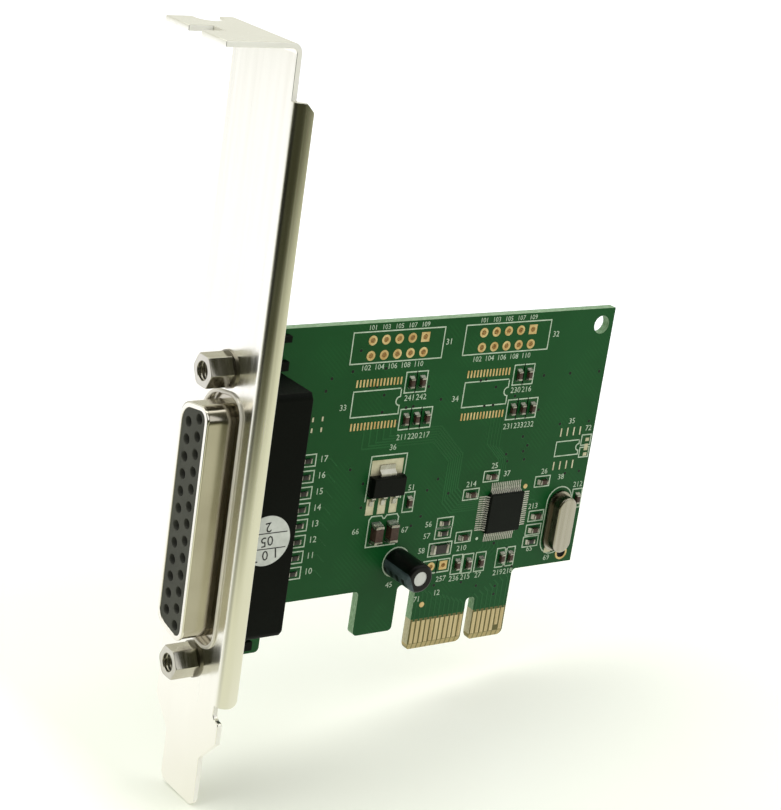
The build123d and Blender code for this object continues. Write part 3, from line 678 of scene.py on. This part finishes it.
def frame_lines(left, bottom, right, top):
    ink_line((left, bottom), (right, bottom), (right, top), (left, top), (left, bottom))


def notched_outline(left, bottom, right, top, notch):
    """The outline of an empty circuit, with the half-round notch that marks its first end."""
    middle_z = (bottom + top) / 2
    arc = [math.pi * (0.5 + i / 8) for i in range(9)]
    points = [(right + notch * math.cos(a), middle_z + notch * math.sin(a)) for a in arc]
    ink_line((right, top), *points, (right, bottom), (left, bottom), (left, top), (right, top))


UPRIGHT_CHIP_FRAME = (1.05, 1.75)
LYING_CHIP_FRAME = (1.6, 0.95)
RESISTOR_FRAME = (1.65, 0.95)
SIDE_COLUMN_X = -30
SLEEVE_RING = 2.62
CRYSTAL_MARGIN = 0.35
CRYSTAL_LIFT = 0.7


def frame_round(x, z, half_x, half_z):
    frame_lines(x - half_x, z - half_z, x + half_x, z + half_z)


layer = start_layer("legend_lines")
frame_lines(-32.1, 52.4, -14.4, 57.6)
frame_lines(-10.15, 52.5, 7.45, 57.6)
notched_outline(-30.6, 43.4, -21.35, 47.74, 0.75)
notched_outline(-8.65, 43.37, 0.54, 47.7, 0.75)
notched_outline(13.2, 32.75, 18.3, 35.4, 0.6)
ink_line((-18.3, 28.6), (-18.2, 36.35), (-25.2, 36.35), (-25.3, 28.6))
for z in SIDE_ROWS:
    ink_line((-38.6, z + 1.0), (-36.0, z + 1.0), (-36.0, z - 1.0), (-38.6, z - 1.0))
for low, high in solid_boxes("chip_capacitors"):
    x, _, z = center_of(low, high)
    frame_round(x, z, *(UPRIGHT_CHIP_FRAME if high.z - low.z > high.x - low.x else LYING_CHIP_FRAME))
for low, high in solid_boxes("chip_resistors"):
    x, _, z = center_of(low, high)
    if x > SIDE_COLUMN_X:
        frame_round(x, z, *RESISTOR_FRAME)
filter_xs = [center_of(low, high)[0] for low, high in solid_boxes("filter_capacitors")]
tops = []
for x in filter_xs:
    tops += [(x - 1.4, 25.2), (x - 1.0, 25.75), (x + 1.0, 25.75), (x + 1.4, 25.2)]
start, end = (filter_xs[0] - 1.4, 20.35), (filter_xs[-1] + 1.4, 20.35)
ink_line(start, *tops, end, start)
for corners in (
    (-10.75, 17.05, -6.05, 19.4), (-11.3, 13.95, -8.5, 16.25), (-8.5, 13.95, -5.9, 16.25),
    (18.7, 34.3, 20.75, 36.2), (18.7, 32.1, 20.75, 33.9),
):
    frame_lines(*corners)
turns = [math.tau * i / 24 for i in range(25)]
ink_line(*((-17.2 + SLEEVE_RING * math.cos(a), 17.0 + SLEEVE_RING * math.sin(a)) for a in turns))
disc(-0.81, 19.22, 0.28, INK_RISE)
crystal_low, crystal_high = (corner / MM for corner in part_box("crystal_base"))
bow_radius = (crystal_high.x - crystal_low.x) / 2 + CRYSTAL_MARGIN
bow_x = (crystal_low.x + crystal_high.x) / 2
bow_z = crystal_high.z - bow_radius + CRYSTAL_LIFT
arc = [math.pi * i / 12 for i in range(13)]
bow = [(bow_x + bow_radius * math.cos(a), bow_z + bow_radius * math.sin(a)) for a in arc]
dip = [(x, crystal_low.z + crystal_high.z - z) for x, z in reversed(bow)]
ink_line(*bow, *dip, bow[0])
finish_layer(layer, ink)

FIGURE_SCALE = 1.35
FIGURE_HEIGHT = 1.05
SIDE_FIGURE_HEIGHT = 1.15


def number(figure, x, z, height):
    """A plain printed number, upright on the board's face."""
    deselect()
    bpy.ops.object.text_add()
    print_mark = bpy.context.object
    print_mark.data.body = str(figure)
    print_mark.data.size = height * FIGURE_SCALE * MM
    print_mark.data.extrude = INK_RISE * MM
    print_mark.data.align_x = "CENTER"
    print_mark.data.align_y = "CENTER"
    print_mark.data.resolution_u = 2
    bpy.ops.object.convert(target="MESH")
    print_mark = bpy.context.object
    place = Matrix.Translation(Vector((x * MM, face_y, z * MM)))
    print_mark.data.transform(place @ Matrix.Rotation(math.pi / 2, 4, "X"))
    return print_mark


def join_pieces(name, pieces, material):
    """Makes several meshes one piece that rides on the card."""
    deselect()
    for piece in pieces:
        piece.select_set(True)
    bpy.context.view_layer.objects.active = pieces[0]
    bpy.ops.object.join()
    joined = bpy.context.object
    joined.name = name
    joined.data.materials.clear()
    joined.data.materials.append(material)
    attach(joined, BODY)
    joined.select_set(False)


marks = []
for left in HEADER_LEFTS:
    for column in range(5):
        x = left + column * HEADER_PITCH
        marks.append(number(2 * column + 101, x - 0.3, HEADER_TOP + 2.1, 0.85))
        marks.append(number(2 * column + 102, x - 0.6, HEADER_TOP - HEADER_PITCH - 2.0, 0.95))
for i, z in enumerate(SIDE_ROWS):
    marks.append(number(17 - i, -34.5, z, SIDE_FIGURE_HEIGHT))
for figure, x, z in (
    (31, -13.2, 55.0), (32, 8.9, 55.0), (33, -32.2, 45.2), (34, -10.2, 45.0), (35, 15.8, 39.0),
    (36, -21.3, 37.6), (37, 3.4, 30.6), (38, 15.5, 28.8), (241, -19.5, 45.9), (242, -17.2, 45.9),
    (211, -19.9, 39.2), (220, -17.7, 39.2), (217, -15.4, 39.2), (230, 2.2, 45.6), (216, 4.5, 45.6),
    (231, 1.9, 39.2), (233, 4.1, 39.2), (232, 6.3, 39.2), (51, -16.3, 30.1), (214, -3.9, 29.4),
    (25, 0.5, 32.3), (26, 11.6, 30.2), (213, 10.4, 23.9), (56, -11.6, 23.0), (57, -11.6, 20.9),
    (58, -12.2, 18.3), (210, -3.8, 17.8), (236, -4.4, 12.3), (215, -2.0, 12.3), (27, 0.7, 12.3),
    (219, 5.0, 12.2), (218, 7.2, 12.2), (65, 11.2, 15.9), (66, -26.3, 23.4), (67, -16.4, 22.6),
    (212, 19.7, 27.0), (69, 15.4, 13.7), (257, -7.2, 12.6), (71, -11.6, 9.4), (72, 19.8, 37.4),
    (12, -7.6, 10.1), (45, -17.9, 12.9),
):
    marks.append(number(figure, x, z, FIGURE_HEIGHT))
join_pieces("legend_numbers", marks, ink)

# The plated edge fingers: flat gold-plated pads on both faces of the bevelled edge, with the
# faint upright wear lines that the socket's springs leave.
gold_tones = ("b3a070", "d3c294")
wear_lines = (1500, 3.0, (1, 1, 0.04))
dress("edge_contacts", mottled("worn_gold", "c4b184", 0.36, 0.5, wear_lines, gold_tones, (0.24, 0.4)))

# The port: a tin-plated shell drawn from sheet, a dark moulded insulator with twenty-five
# entries, and a black moulded hood behind the bracket with an ear at each end. The bracket's
# cut-out has a rolled lip. Round the shell's front edge runs a rim in a much brighter copy of
# the shell's tin: a painted highlight.
def drawn_tin(name, first, second, metallic=1.0):
    material, shader = finish(name, first, 0.22, metallic)
    draw_lines = grain(material, 700, 3.0, (0.03, 1, 1))
    cloud = grain(material, 90)
    paint(material, shader, spread(material, cloud, 0, 1), first, second)
    wear(material, shader, cloud, 0.13, 0.2)
    relief(material, shader, draw_lines, 0.000001)
    return material


def moulded(name, first, second, roughness, depth):
    """A moulded plastic with the fine spark-eroded skin of its tool."""
    material, shader = finish(name, first, roughness, specular=0.12)
    skin = grain(material, 4200, 2.0)
    cloud = grain(material, 120)
    paint(material, shader, spread(material, cloud, 0, 1), first, second)
    wear(material, shader, skin, roughness - 0.05, roughness + 0.08)
    relief(material, shader, skin, depth)
    return material


ENTRY_RADIUS = 0.62
ENTRY_OPENED = 0.8
BARREL_RADIUS = 0.55
entry_axes = [(low.y + BARREL_RADIUS, (low.z + high.z) / 2) for low, high in solid_boxes("port_contacts")]


def open_holes(mesh, axes, drilled, opened, slack):
    """Widens round holes along X, given by where their axes lie in Y and Z."""
    for vertex in mesh.vertices:
        for y, z in axes:
            off = Vector((0, vertex.co.y / MM - y, vertex.co.z / MM - z))
            if off.length < drilled + slack:
                vertex.co += off * (opened / drilled - 1) * MM


def open_entries(mesh):
    """Opens each entry to the width of its lead-in."""
    open_holes(mesh, entry_axes, ENTRY_RADIUS, ENTRY_OPENED, slack=0.05)


hood_black = moulded("hood_black", "020603", "050b06", 0.55, 0.000008)
softened("port_shell", drawn_tin("drawn_tin", "bab4a7", "d0cbbf"), width=0.05)
insulator_dark = moulded("insulator_dark", "484942", "52534b", 0.55, 0.000006)
softened("port_insulator", insulator_dark, width=0.1, reshape=open_entries)
softened("port_housing", hood_black, width=0.15)
dress("port_ears", hood_black)

SHELL_CENTER_Y, SHELL_CENTER_Z = -6.7, 32.07
SHELL_LONG_HALF, SHELL_SHORT_HALF, SHELL_HALF_HEIGHT = 19.15, 17.76, 3.95
SHELL_SLOPE = math.radians(10)
SHELL_RADIUS = 2.6
CORNER_STEPS = 10
LIP_OUT, LIP_WIDTH, LIP_RISE, LIP_ROUNDING = 1.75, 0.6, 0.45, 0.2
LIP_BEFORE_BACK = 1.26
RIM_OUT, RIM_WIDTH, RIM_RISE, RIM_ROUNDING = -0.04, 0.75, 0.5, 0.1


def d_ring(name, out, width, back_x, rise, rounding, material):
    """A D-shaped ring round the port, drawn from the outline of the shell moved outwards."""
    deselect()
    bpy.ops.mesh.primitive_plane_add(size=MM)
    ring = bpy.context.object
    ring.name = name
    lift, lean = out / math.cos(SHELL_SLOPE), out * math.tan(SHELL_SLOPE)
    long_half, short_half = SHELL_LONG_HALF + lift + lean, SHELL_SHORT_HALF + lift - lean
    half = SHELL_HALF_HEIGHT + out
    corners = ((-half, -long_half), (-half, long_half), (half, short_half), (half, -short_half))
    for index, (y, z) in zip(ring.data.polygons[0].vertices, corners):
        ring.data.vertices[index].co = Vector((back_x, SHELL_CENTER_Y + y, SHELL_CENTER_Z + z)) * MM
    bpy.ops.object.mode_set(mode="EDIT")
    bpy.ops.mesh.select_all(action="SELECT")
    bpy.ops.mesh.bevel(affect="VERTICES", offset=(SHELL_RADIUS + out) * MM, segments=CORNER_STEPS)
    bpy.ops.mesh.inset(thickness=width * MM)
    bpy.ops.mesh.delete(type="FACE")
    bpy.ops.mesh.select_all(action="SELECT")
    bpy.ops.mesh.extrude_region_move(TRANSFORM_OT_translate={"value": (-rise * MM, 0, 0)})
    bpy.ops.mesh.select_all(action="SELECT")
    bpy.ops.mesh.normals_make_consistent(inside=False)
    bpy.ops.object.mode_set(mode="OBJECT")
    rolled = ring.modifiers.new("rolled", "BEVEL")
    rolled.width = rounding * MM
    rolled.segments = 3
    rolled.limit_method = "ANGLE"
    rolled.angle_limit = math.radians(60)
    bpy.ops.object.modifier_apply(modifier="rolled")
    bpy.ops.object.shade_smooth_by_angle(angle=math.radians(40))
    ring.data.materials.append(material)
    ring.select_set(False)
    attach(ring, BODY)


shell_front_x, shell_back_x = (corner.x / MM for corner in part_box("port_shell"))
rolled_lip = drawn_tin("rolled_lip", "e2ddd0", "efeadf", 0.3)
lip_back_x = shell_back_x - LIP_BEFORE_BACK
d_ring("cutout_lip", LIP_OUT, LIP_WIDTH, lip_back_x, LIP_RISE, LIP_ROUNDING, rolled_lip)
# The shell's front rim is a near-white copy of the shell's tin: painted highlight.
rim_painted_highlight = drawn_tin("rim_painted_highlight", "f2efe6", "fbf8f0")
rim_back_x = shell_front_x + RIM_RISE
d_ring("shell_rim", RIM_OUT, RIM_WIDTH, rim_back_x, RIM_RISE, RIM_ROUNDING, rim_painted_highlight)

alloy_tones = ("7c6a41", "b09a68")
contact_alloy = mottled("contact_alloy", "8f7b4e", 0.35, 1.0, (900,), alloy_tones, raw=True)
dress("port_contacts", contact_alloy)
dress("threaded_inserts", contact_alloy)

# The jackscrews: hexagonal bar turned and tapped, nickel plated bright. Each is drawn down on a
# thin washer, and the cable's thumbscrews go into the thread at its outer end.
def bright_nickel():
    material, shader = finish("bright_nickel", "d2cfc6", 0.14, 1.0)
    turning = grain(material, 1600, 2.0, (1, 0.1, 0.1))
    cloud = grain(material, 200)
    paint(material, shader, spread(material, cloud, 0, 1), "c4c1b7", "dcd9d1")
    wear(material, shader, turning, 0.1, 0.24)
    return material


nickel = bright_nickel()
screw_boxes = solid_boxes("jackscrews")
screw_axes = [center_of(low, high)[1:] for low, high in screw_boxes]
TAP_DRILLED = 1.35
TAP_OPENED = 1.45


def open_taps(mesh):
    """Opens each tapped hole to the depth of its thread."""
    open_holes(mesh, screw_axes, TAP_DRILLED, TAP_OPENED, slack=0.01)


softened("jackscrews", nickel, width=0.06, reshape=open_taps)
# The washers are a darker steel than the jackscrews: painted shade in the gap between hex and bracket.
washer_shade_tones = ("7d796e", "9a968a")
washer_painted_shade = mottled("washer_painted_shade", "8c887c", 0.32, 1.0, (1400, 3.0), washer_shade_tones, raw=True)
dress("jackscrew_washers", washer_painted_shade)

THREAD_PITCH = 0.635
THREAD_HALF = 0.24
THREAD_DEPTH = 0.16
THREAD_SUNK = 0.02
THREAD_TURNS = 5
THREAD_START = 0.3
threads = []
for low, high in screw_boxes:
    deselect()
    bpy.ops.mesh.primitive_circle_add(vertices=3, radius=MM)
    thread = bpy.context.object
    root, crest = TAP_OPENED + THREAD_SUNK, TAP_OPENED - THREAD_DEPTH
    profile = ((root, -THREAD_HALF), (crest, 0.0), (root, THREAD_HALF))
    for vertex, (radius, x) in zip(thread.data.vertices, profile):
        vertex.co = (x * MM, 0, radius * MM)
    turns = thread.modifiers.new("turns", "SCREW")
    turns.axis = "X"
    turns.angle = math.tau
    turns.screw_offset = THREAD_PITCH * MM
    turns.iterations = THREAD_TURNS
    turns.steps = turns.render_steps = 32
    turns.use_merge_vertices = False
    bpy.ops.object.modifier_apply(modifier="turns")
    center = (low + high) / 2
    thread.data.transform(Matrix.Translation(Vector((low.x + THREAD_START, center.y, center.z)) * MM))
    threads.append(thread)
join_pieces("jackscrew_threads", threads, nickel)

# The inspection label: a round of coated paper stuck on the hood, printed in black with plain
# numbers and two ruled lines.
paper_tones = ("c0c4bd", "d2d5cf")
coated_paper = mottled("coated_paper", "c9ccc6", 0.55, 0.0, (900, 5.0), paper_tones, depth=0.000006)
dress("inspection_sticker", coated_paper)
label_low, label_high = (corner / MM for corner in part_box("inspection_sticker"))
label_x, _, label_z = center_of(label_low, label_high)
label_ink = mottled("label_ink", "1b1c1d", 0.5, 0.0, (1200,), ("111213", "2b2c2e"), raw=True)
RULE_HALF = 3.4
RULE_WIDTH = 0.16
RULE_RISE = 0.012
LABEL_FIGURE = 1.75
LABEL_TURN = math.radians(172)
layer = start_layer("label_lines")
for off in (-1.3, 1.25):
    start, end = (label_x - RULE_HALF, label_z + off), (label_x + RULE_HALF, label_z + off)
    stroke(start, end, RULE_WIDTH, RULE_RISE, label_low.y * MM)
finish_layer(layer, label_ink)
label_marks = []
for figure, off in (("2", 2.3), ("05", 0.0), ("1 0 7", -2.3)):
    mark = number(figure, 0, 0, LABEL_FIGURE)
    mark.data.transform(Matrix.Rotation(LABEL_TURN, 4, "Y"))
    onto_label = Vector((0, label_low.y * MM - face_y, 0))
    mark.data.transform(Matrix.Translation(Vector((label_x, 0, label_z + off)) * MM + onto_label))
    label_marks.append(mark)
join_pieces("label_numbers", label_marks, label_ink)

# The controller and the regulator: black moulded packages on bent, tinned leads that are
# soldered to the board's pads. The regulator's sides are drafted, so its edges are soft.
package_black = moulded("package_black", "0b100c", "131813", 0.5, 0.00001)
softened("controller_body", package_black, width=0.04)
regulator_black = moulded("regulator_black", "060a06", "0d110c", 0.45, 0.00001)
softened("regulator_body", regulator_black, width=0.1, sharp=8)


def tinned(name, first, second, metallic=0.95):
    """Bright tin with a faintly streaked skin."""
    return mottled(name, first, 0.28, metallic, (600, 2.0), (first, second), (0.2, 0.38))


tin = tinned("tinned_lead", "a9a79f", "d6d5cf")
for node in ("regulator_leads", "electrolytic_leads"):
    dress(node, tin)
dress("controller_leads", tinned("fine_lead", "c2c0b4", "d2d0c4", 0.4))

# The crystal: a drawn nickel-plated can, resistance-welded to its base all round, so a bright
# flat rim runs round its foot. The top is brushed lengthwise. The sides of can and base are
# painted dark brown by the way they face: painted shade.
def plated_can():
    material, shader = finish("plated_can", "b4b0a2", 0.32, 1.0)
    brush = grain(material, 1200, 3.0, (1, 1, 0.05))
    brushed = blend_tones(material, spread(material, brush, 0, 1), "a8a495", "c1bdb0")
    # Faces that don't point along Y, the sides, are painted dark brown: painted shade.
    outward = spread(material, calc(material, "ABSOLUTE", facing(material)["Y"]), 0, 1, 0.2, 0.7)
    paint(material, shader, outward, "6d6658", brushed)
    wear(material, shader, brush, 0.2, 0.36)
    relief(material, shader, brush, 0.000003)
    return material


can_steel = plated_can()
dress("crystal_can", can_steel)
dress("crystal_base", can_steel)

# The electrolytic capacitor: an aluminium can in a shrunk black sleeve, which turns over the
# top edge. A pale stripe with short dark dashes down one side marks the negative lead.
STRIPE_ANGLE = math.radians(204)
STRIPE_HALF = math.radians(46)
DASH_HALF = STRIPE_HALF / 3
DASH_PITCH = 1.7 * MM
DASH_SHARE = 0.45
sleeve_low, sleeve_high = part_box("electrolytic_sleeve")
sleeve_x, _, sleeve_z = center_of(sleeve_low, sleeve_high)
sleeve_radius = (sleeve_high.x - sleeve_low.x) / 2


def striped_sleeve():
    material, shader = finish("striped_sleeve", "060708", 0.32, specular=0.25)
    x, y, z = place_on(material)
    across = calc(material, "SUBTRACT", x, sleeve_x)
    up = calc(material, "SUBTRACT", z, sleeve_z)
    aside = calc(material, "MULTIPLY", across, math.cos(STRIPE_ANGLE))
    toward = calc(material, "ADD", aside, calc(material, "MULTIPLY", up, math.sin(STRIPE_ANGLE)))
    stripe = calc(material, "GREATER_THAN", toward, sleeve_radius * math.cos(STRIPE_HALF))
    beat = calc(material, "FRACT", calc(material, "DIVIDE", y, DASH_PITCH))
    narrow = calc(material, "GREATER_THAN", toward, sleeve_radius * math.cos(DASH_HALF))
    dash = calc(material, "MULTIPLY", narrow, calc(material, "LESS_THAN", beat, DASH_SHARE))
    printed = calc(material, "SUBTRACT", stripe, dash, clamp=True)
    streaks = spread(material, grain(material, 700, 4.0, (1, 0.3, 1)), 0.3, 1.0, 0.35, 0.6)
    printed = calc(material, "MULTIPLY", printed, streaks)
    film = grain(material, 500)
    base = blend_tones(material, spread(material, film, 0, 1), "040505", "0a0b0c")
    paint(material, shader, printed, base, "4a585a")
    relief(material, shader, film, 0.00001)
    return material


dress("electrolytic_sleeve", striped_sleeve())
rolled_lines = (900, 3.0, (1, 1, 0.1))
can_tones = ("c2c6c9", "e4e6e7")
bare_aluminium = mottled("bare_aluminium", "d3d6d8", 0.38, 0.8, rolled_lines, can_tones, raw=True)
dress("electrolytic_can", bare_aluminium)
dress("electrolytic_bung", moulded("bung_rubber", "141414", "1e1e1e", 0.7, 0.00001))

# The chip parts: blocks of fired ceramic, mauve-brown on the capacitors and black glazed on the
# resistors, between dipped metal ends.
def fired(name, first, second, roughness):
    return mottled(name, first, roughness, 0.0, (2600, 3.0), (first, second), depth=0.000006)


chip_tin = tinned("chip_tin", "8c8a80", "cfcdc2")
for node in END_NODES:
    softened(node, chip_tin, width=0.08)
ceramic = fired("chip_ceramic", "38241b", "4b342a", 0.45)
glaze = fired("resistor_glaze", "1a1714", "2a2520", 0.4)
softened("chip_capacitors", ceramic, width=0.06)
softened("filter_capacitors", ceramic, width=0.06)
softened("chip_resistors", glaze, width=0.05)
softened("shunt_resistor", glaze, width=0.05)

# The floor and the light: a white table in a white room, with two large soft lamps, to the right
# and behind. The table glows for the camera, more to the left of the foot and far from it and
# less close to it. This paints out part of the lamps' shadow and keeps it dark by the foot:
# painted light and painted shade. In polished metal the table shows a painted reflection, a glow
# that falls off to dark on the camera's side, as the room does. The camera was found from the
# known sizes of the port, the headers and the slot bracket.
CAMERA_PLACE = Vector((-223.013, -263.028, 156.561)) * MM
CAMERA_RIGHT = Vector((0.81521, -0.56193, 0.14023))
CAMERA_UP = Vector((0.07445, 0.34178, 0.93683))
FOCAL_PIXELS = 2191.486
PHOTO_HEIGHT = 810
SENSOR = 24.0
CAMERA_DIP = math.radians(20)
NEAREST_SEEN = 0.01

view_back = CAMERA_RIGHT.cross(CAMERA_UP).normalized()
upright = (CAMERA_UP * math.cos(CAMERA_DIP) + view_back * math.sin(CAMERA_DIP)).normalized()
middle = (cad_low + cad_high) / 2

camera_data = bpy.data.cameras.new("camera")
camera_data.sensor_fit = "VERTICAL"
camera_data.sensor_height = SENSOR
camera_data.lens = FOCAL_PIXELS * SENSOR / PHOTO_HEIGHT
camera_data.clip_start = NEAREST_SEEN
camera = bpy.data.objects.new("camera", camera_data)
bpy.context.scene.collection.objects.link(camera)
turn = Matrix((CAMERA_RIGHT.normalized(), CAMERA_UP.normalized(), view_back)).transposed()
camera.matrix_world = Matrix.Translation(CAMERA_PLACE) @ turn.to_4x4()
bpy.context.scene.camera = camera


def floor_height():
    """Where the lowest point of the card touches the floor, along the floor's own upright."""
    lowest = 0.0
    for node in ("bracket", "circuit_board"):
        lowest = min(lowest, min(v.co.dot(upright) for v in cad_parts[node].data.vertices))
    return lowest


FRONT = Vector((-0.357, -0.934, 0.0))
LEFT = Vector((-0.9995, -0.03, 0.0))
FLOOR_START = Vector((-58.0, -14.0, 0.0)) * MM
FOOT = Vector((-57.0, -8.0, -14.0)) * MM
# The table's painted reflection, as polished metal sees it:
# Distance towards the front, light and share of blue of what polished metal sees
FLOOR_TONES = (
    (-120, 1.0, 1.0), (-30, 0.89, 0.93), (0, 0.77, 0.86), (28, 0.64, 0.76), (73, 0.63, 0.73),
    (91, 0.58, 0.71), (109, 0.45, 0.69), (124, 0.39, 0.67), (150, 0.24, 0.63), (190, 0.09, 0.5),
    (260, 0.03, 0.4),
)
MIRROR_STRENGTH = 1.15
ROOM_TONES = ((-0.9, 0.8, 0.88), (-0.3, 0.6, 0.8), (0, 0.4, 0.72), (0.4, 0.1, 0.55), (0.8, 0.03, 0.4))
# The table's glow for the camera: painted light left of the foot and far off, painted shade near the foot.
# Lowest and highest value, and the two measures between which it changes
PAINTED_LEFT_GLOW = (0.35, 0, -85 * MM, -62 * MM)
PAINTED_FAR_GLOW = (0, 0.4, 0.08, 0.3)
PAINTED_FOOT_SHADE = (0.06, 0.17, 0.01, 0.05)
GLOW_CHANGE = (0, 1, 0.1, 0.4)
GAP_WIDTH = (0, 1, 0.88, 0.97)
GAP_DEPTH = (0.1, 0.97, 30 * MM, 260 * MM)


def vector_step(owner, operation, vector, other=(0, 0, 0)):
    """One step of arithmetic on a place or a direction."""
    step = new_step(owner, "VectorMath")
    step.operation = operation
    step.inputs[1].default_value = other
    link(owner, vector, step.inputs[0])
    return step.outputs["Vector" if operation == "SUBTRACT" else "Value"]


def toward_front(owner, vector, start):
    """How far a place or a direction lies towards the dark front of the room."""
    return vector_step(owner, "DOT_PRODUCT", vector_step(owner, "SUBTRACT", vector, start), FRONT)


def graded(owner, value, stops, scale):
    """What polished metal sees: white behind the card, falling to dark on the camera's side."""
    first, last = stops[0][0] * scale, stops[-1][0] * scale
    ramp = new_step(owner, "ValToRGB")
    link(owner, spread(owner, value, 0, 1, first, last), ramp.inputs[0])
    points = ramp.color_ramp.elements
    while len(points) < len(stops):
        points.new(0.5)
    for point, (place, light, blue_share) in zip(points, stops):
        point.position = (place * scale - first) / (last - first)
        point.color = (light, light, light * blue_share, 1)
    return ramp.outputs[0]


FLOOR_SIZE = 6.0
bpy.ops.mesh.primitive_plane_add(size=FLOOR_SIZE)
floor = bpy.context.object
floor.name = "floor"
level = upright.to_track_quat("Z", "Y").to_matrix().to_4x4()
floor.matrix_world = Matrix.Translation(upright * floor_height()) @ level
table, table_shader = finish("white_floor", "f6f9ea", 0.6, specular=0.2)
rays = new_step(table, "LightPath")
spot = new_step(table, "NewGeometry").outputs["Position"]
from_foot = vector_step(table, "DISTANCE", spot, FOOT)
# The glow is uneven: it paints out the lamps' shadow left of the foot and keeps it dark by the foot, as
# painted light and shade.
painted_left_glow = spread(table, split_axes(table, spot)["X"], *PAINTED_LEFT_GLOW)
painted_floor_light = calc(table, "MAXIMUM", painted_left_glow, spread(table, from_foot, *PAINTED_FAR_GLOW))
painted_floor_light = calc(table, "ADD", painted_floor_light, spread(table, from_foot, *PAINTED_FOOT_SHADE))
glow = calc(table, "MULTIPLY", rays.outputs["Is Camera Ray"], painted_floor_light)
link(table, glow, table_shader.inputs["Emission Strength"])
glow_change = spread(table, painted_floor_light, *GLOW_CHANGE)
glow_tones = blend_tones(table, glow_change, "fffff8", "dcdcff")
link(table, glow_tones, table_shader.inputs["Emission Color"])
# To polished metal the table shows no lit self. It shows a glow graded from white behind to dark on the
# camera's side, with a dark gap left of the bracket: a painted reflection.
mirrored = new_step(table, "Emission")
reach = toward_front(table, spot, FLOOR_START)
link(table, graded(table, reach, FLOOR_TONES, MM), mirrored.inputs["Color"])
from_bracket = vector_step(table, "SUBTRACT", spot, FLOOR_START)
distance = vector_step(table, "LENGTH", from_bracket)
leftward = vector_step(table, "DOT_PRODUCT", from_bracket, LEFT)
in_gap = spread(table, calc(table, "DIVIDE", leftward, distance), *GAP_WIDTH)
far_off = spread(table, distance, *GAP_DEPTH)
gap = calc(table, "SUBTRACT", 1.0, calc(table, "MULTIPLY", in_gap, far_off))
link(table, calc(table, "MULTIPLY", gap, MIRROR_STRENGTH), mirrored.inputs["Strength"])
choice = new_step(table, "MixShader")
link(table, rays.outputs["Is Glossy Ray"], choice.inputs[0])
link(table, table_shader.outputs[0], choice.inputs[1])
link(table, mirrored.outputs[0], choice.inputs[2])
link(table, choice.outputs[0], table.node_tree.nodes["Material Output"].inputs["Surface"])
floor.data.materials.append(table)
floor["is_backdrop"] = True

ROOM_STRENGTH = 0.66
room = bpy.data.worlds.new("room")
room.use_nodes = True
bpy.context.scene.world = room
backdrop = room.node_tree.nodes["Background"]
room_rays = new_step(room, "LightPath")
seen_room = calc(room, "MAXIMUM", room_rays.outputs["Is Camera Ray"], room_rays.outputs["Is Glossy Ray"])
seen_room = calc(room, "MAXIMUM", seen_room, room_rays.outputs["Is Transmission Ray"])
link(room, spread(room, seen_room, ROOM_STRENGTH, 1.0, 0, 1), backdrop.inputs["Strength"])
direction = new_step(room, "TexCoord").outputs["Generated"]
mirrored_room = graded(room, toward_front(room, direction, Vector((0, 0, 0))), ROOM_TONES, 1)
tones = blend_tones(room, room_rays.outputs["Is Glossy Ray"], "ffffff", mirrored_room)
link(room, tones, backdrop.inputs["Color"])

LAMP_SIZE = 0.9


def soft_lamp(name, aside, watts):
    """A large square lamp that faces the object."""
    lamp_data = bpy.data.lights.new(name, "AREA")
    lamp_data.size = LAMP_SIZE
    lamp_data.energy = watts
    lamp = bpy.data.objects.new(name, lamp_data)
    lamp.location = middle + Vector(aside)
    lamp.rotation_euler = (middle - lamp.location).to_track_quat("-Z", "Y").to_euler()
    bpy.context.scene.collection.objects.link(lamp)


soft_lamp("right_lamp", (0.45, -0.6, 0.6), 2.3)
soft_lamp("back_lamp", (-0.35, 0.2, 0.8), 3.7)

bpy.context.scene.view_settings.view_transform = "Standard"
low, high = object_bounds()
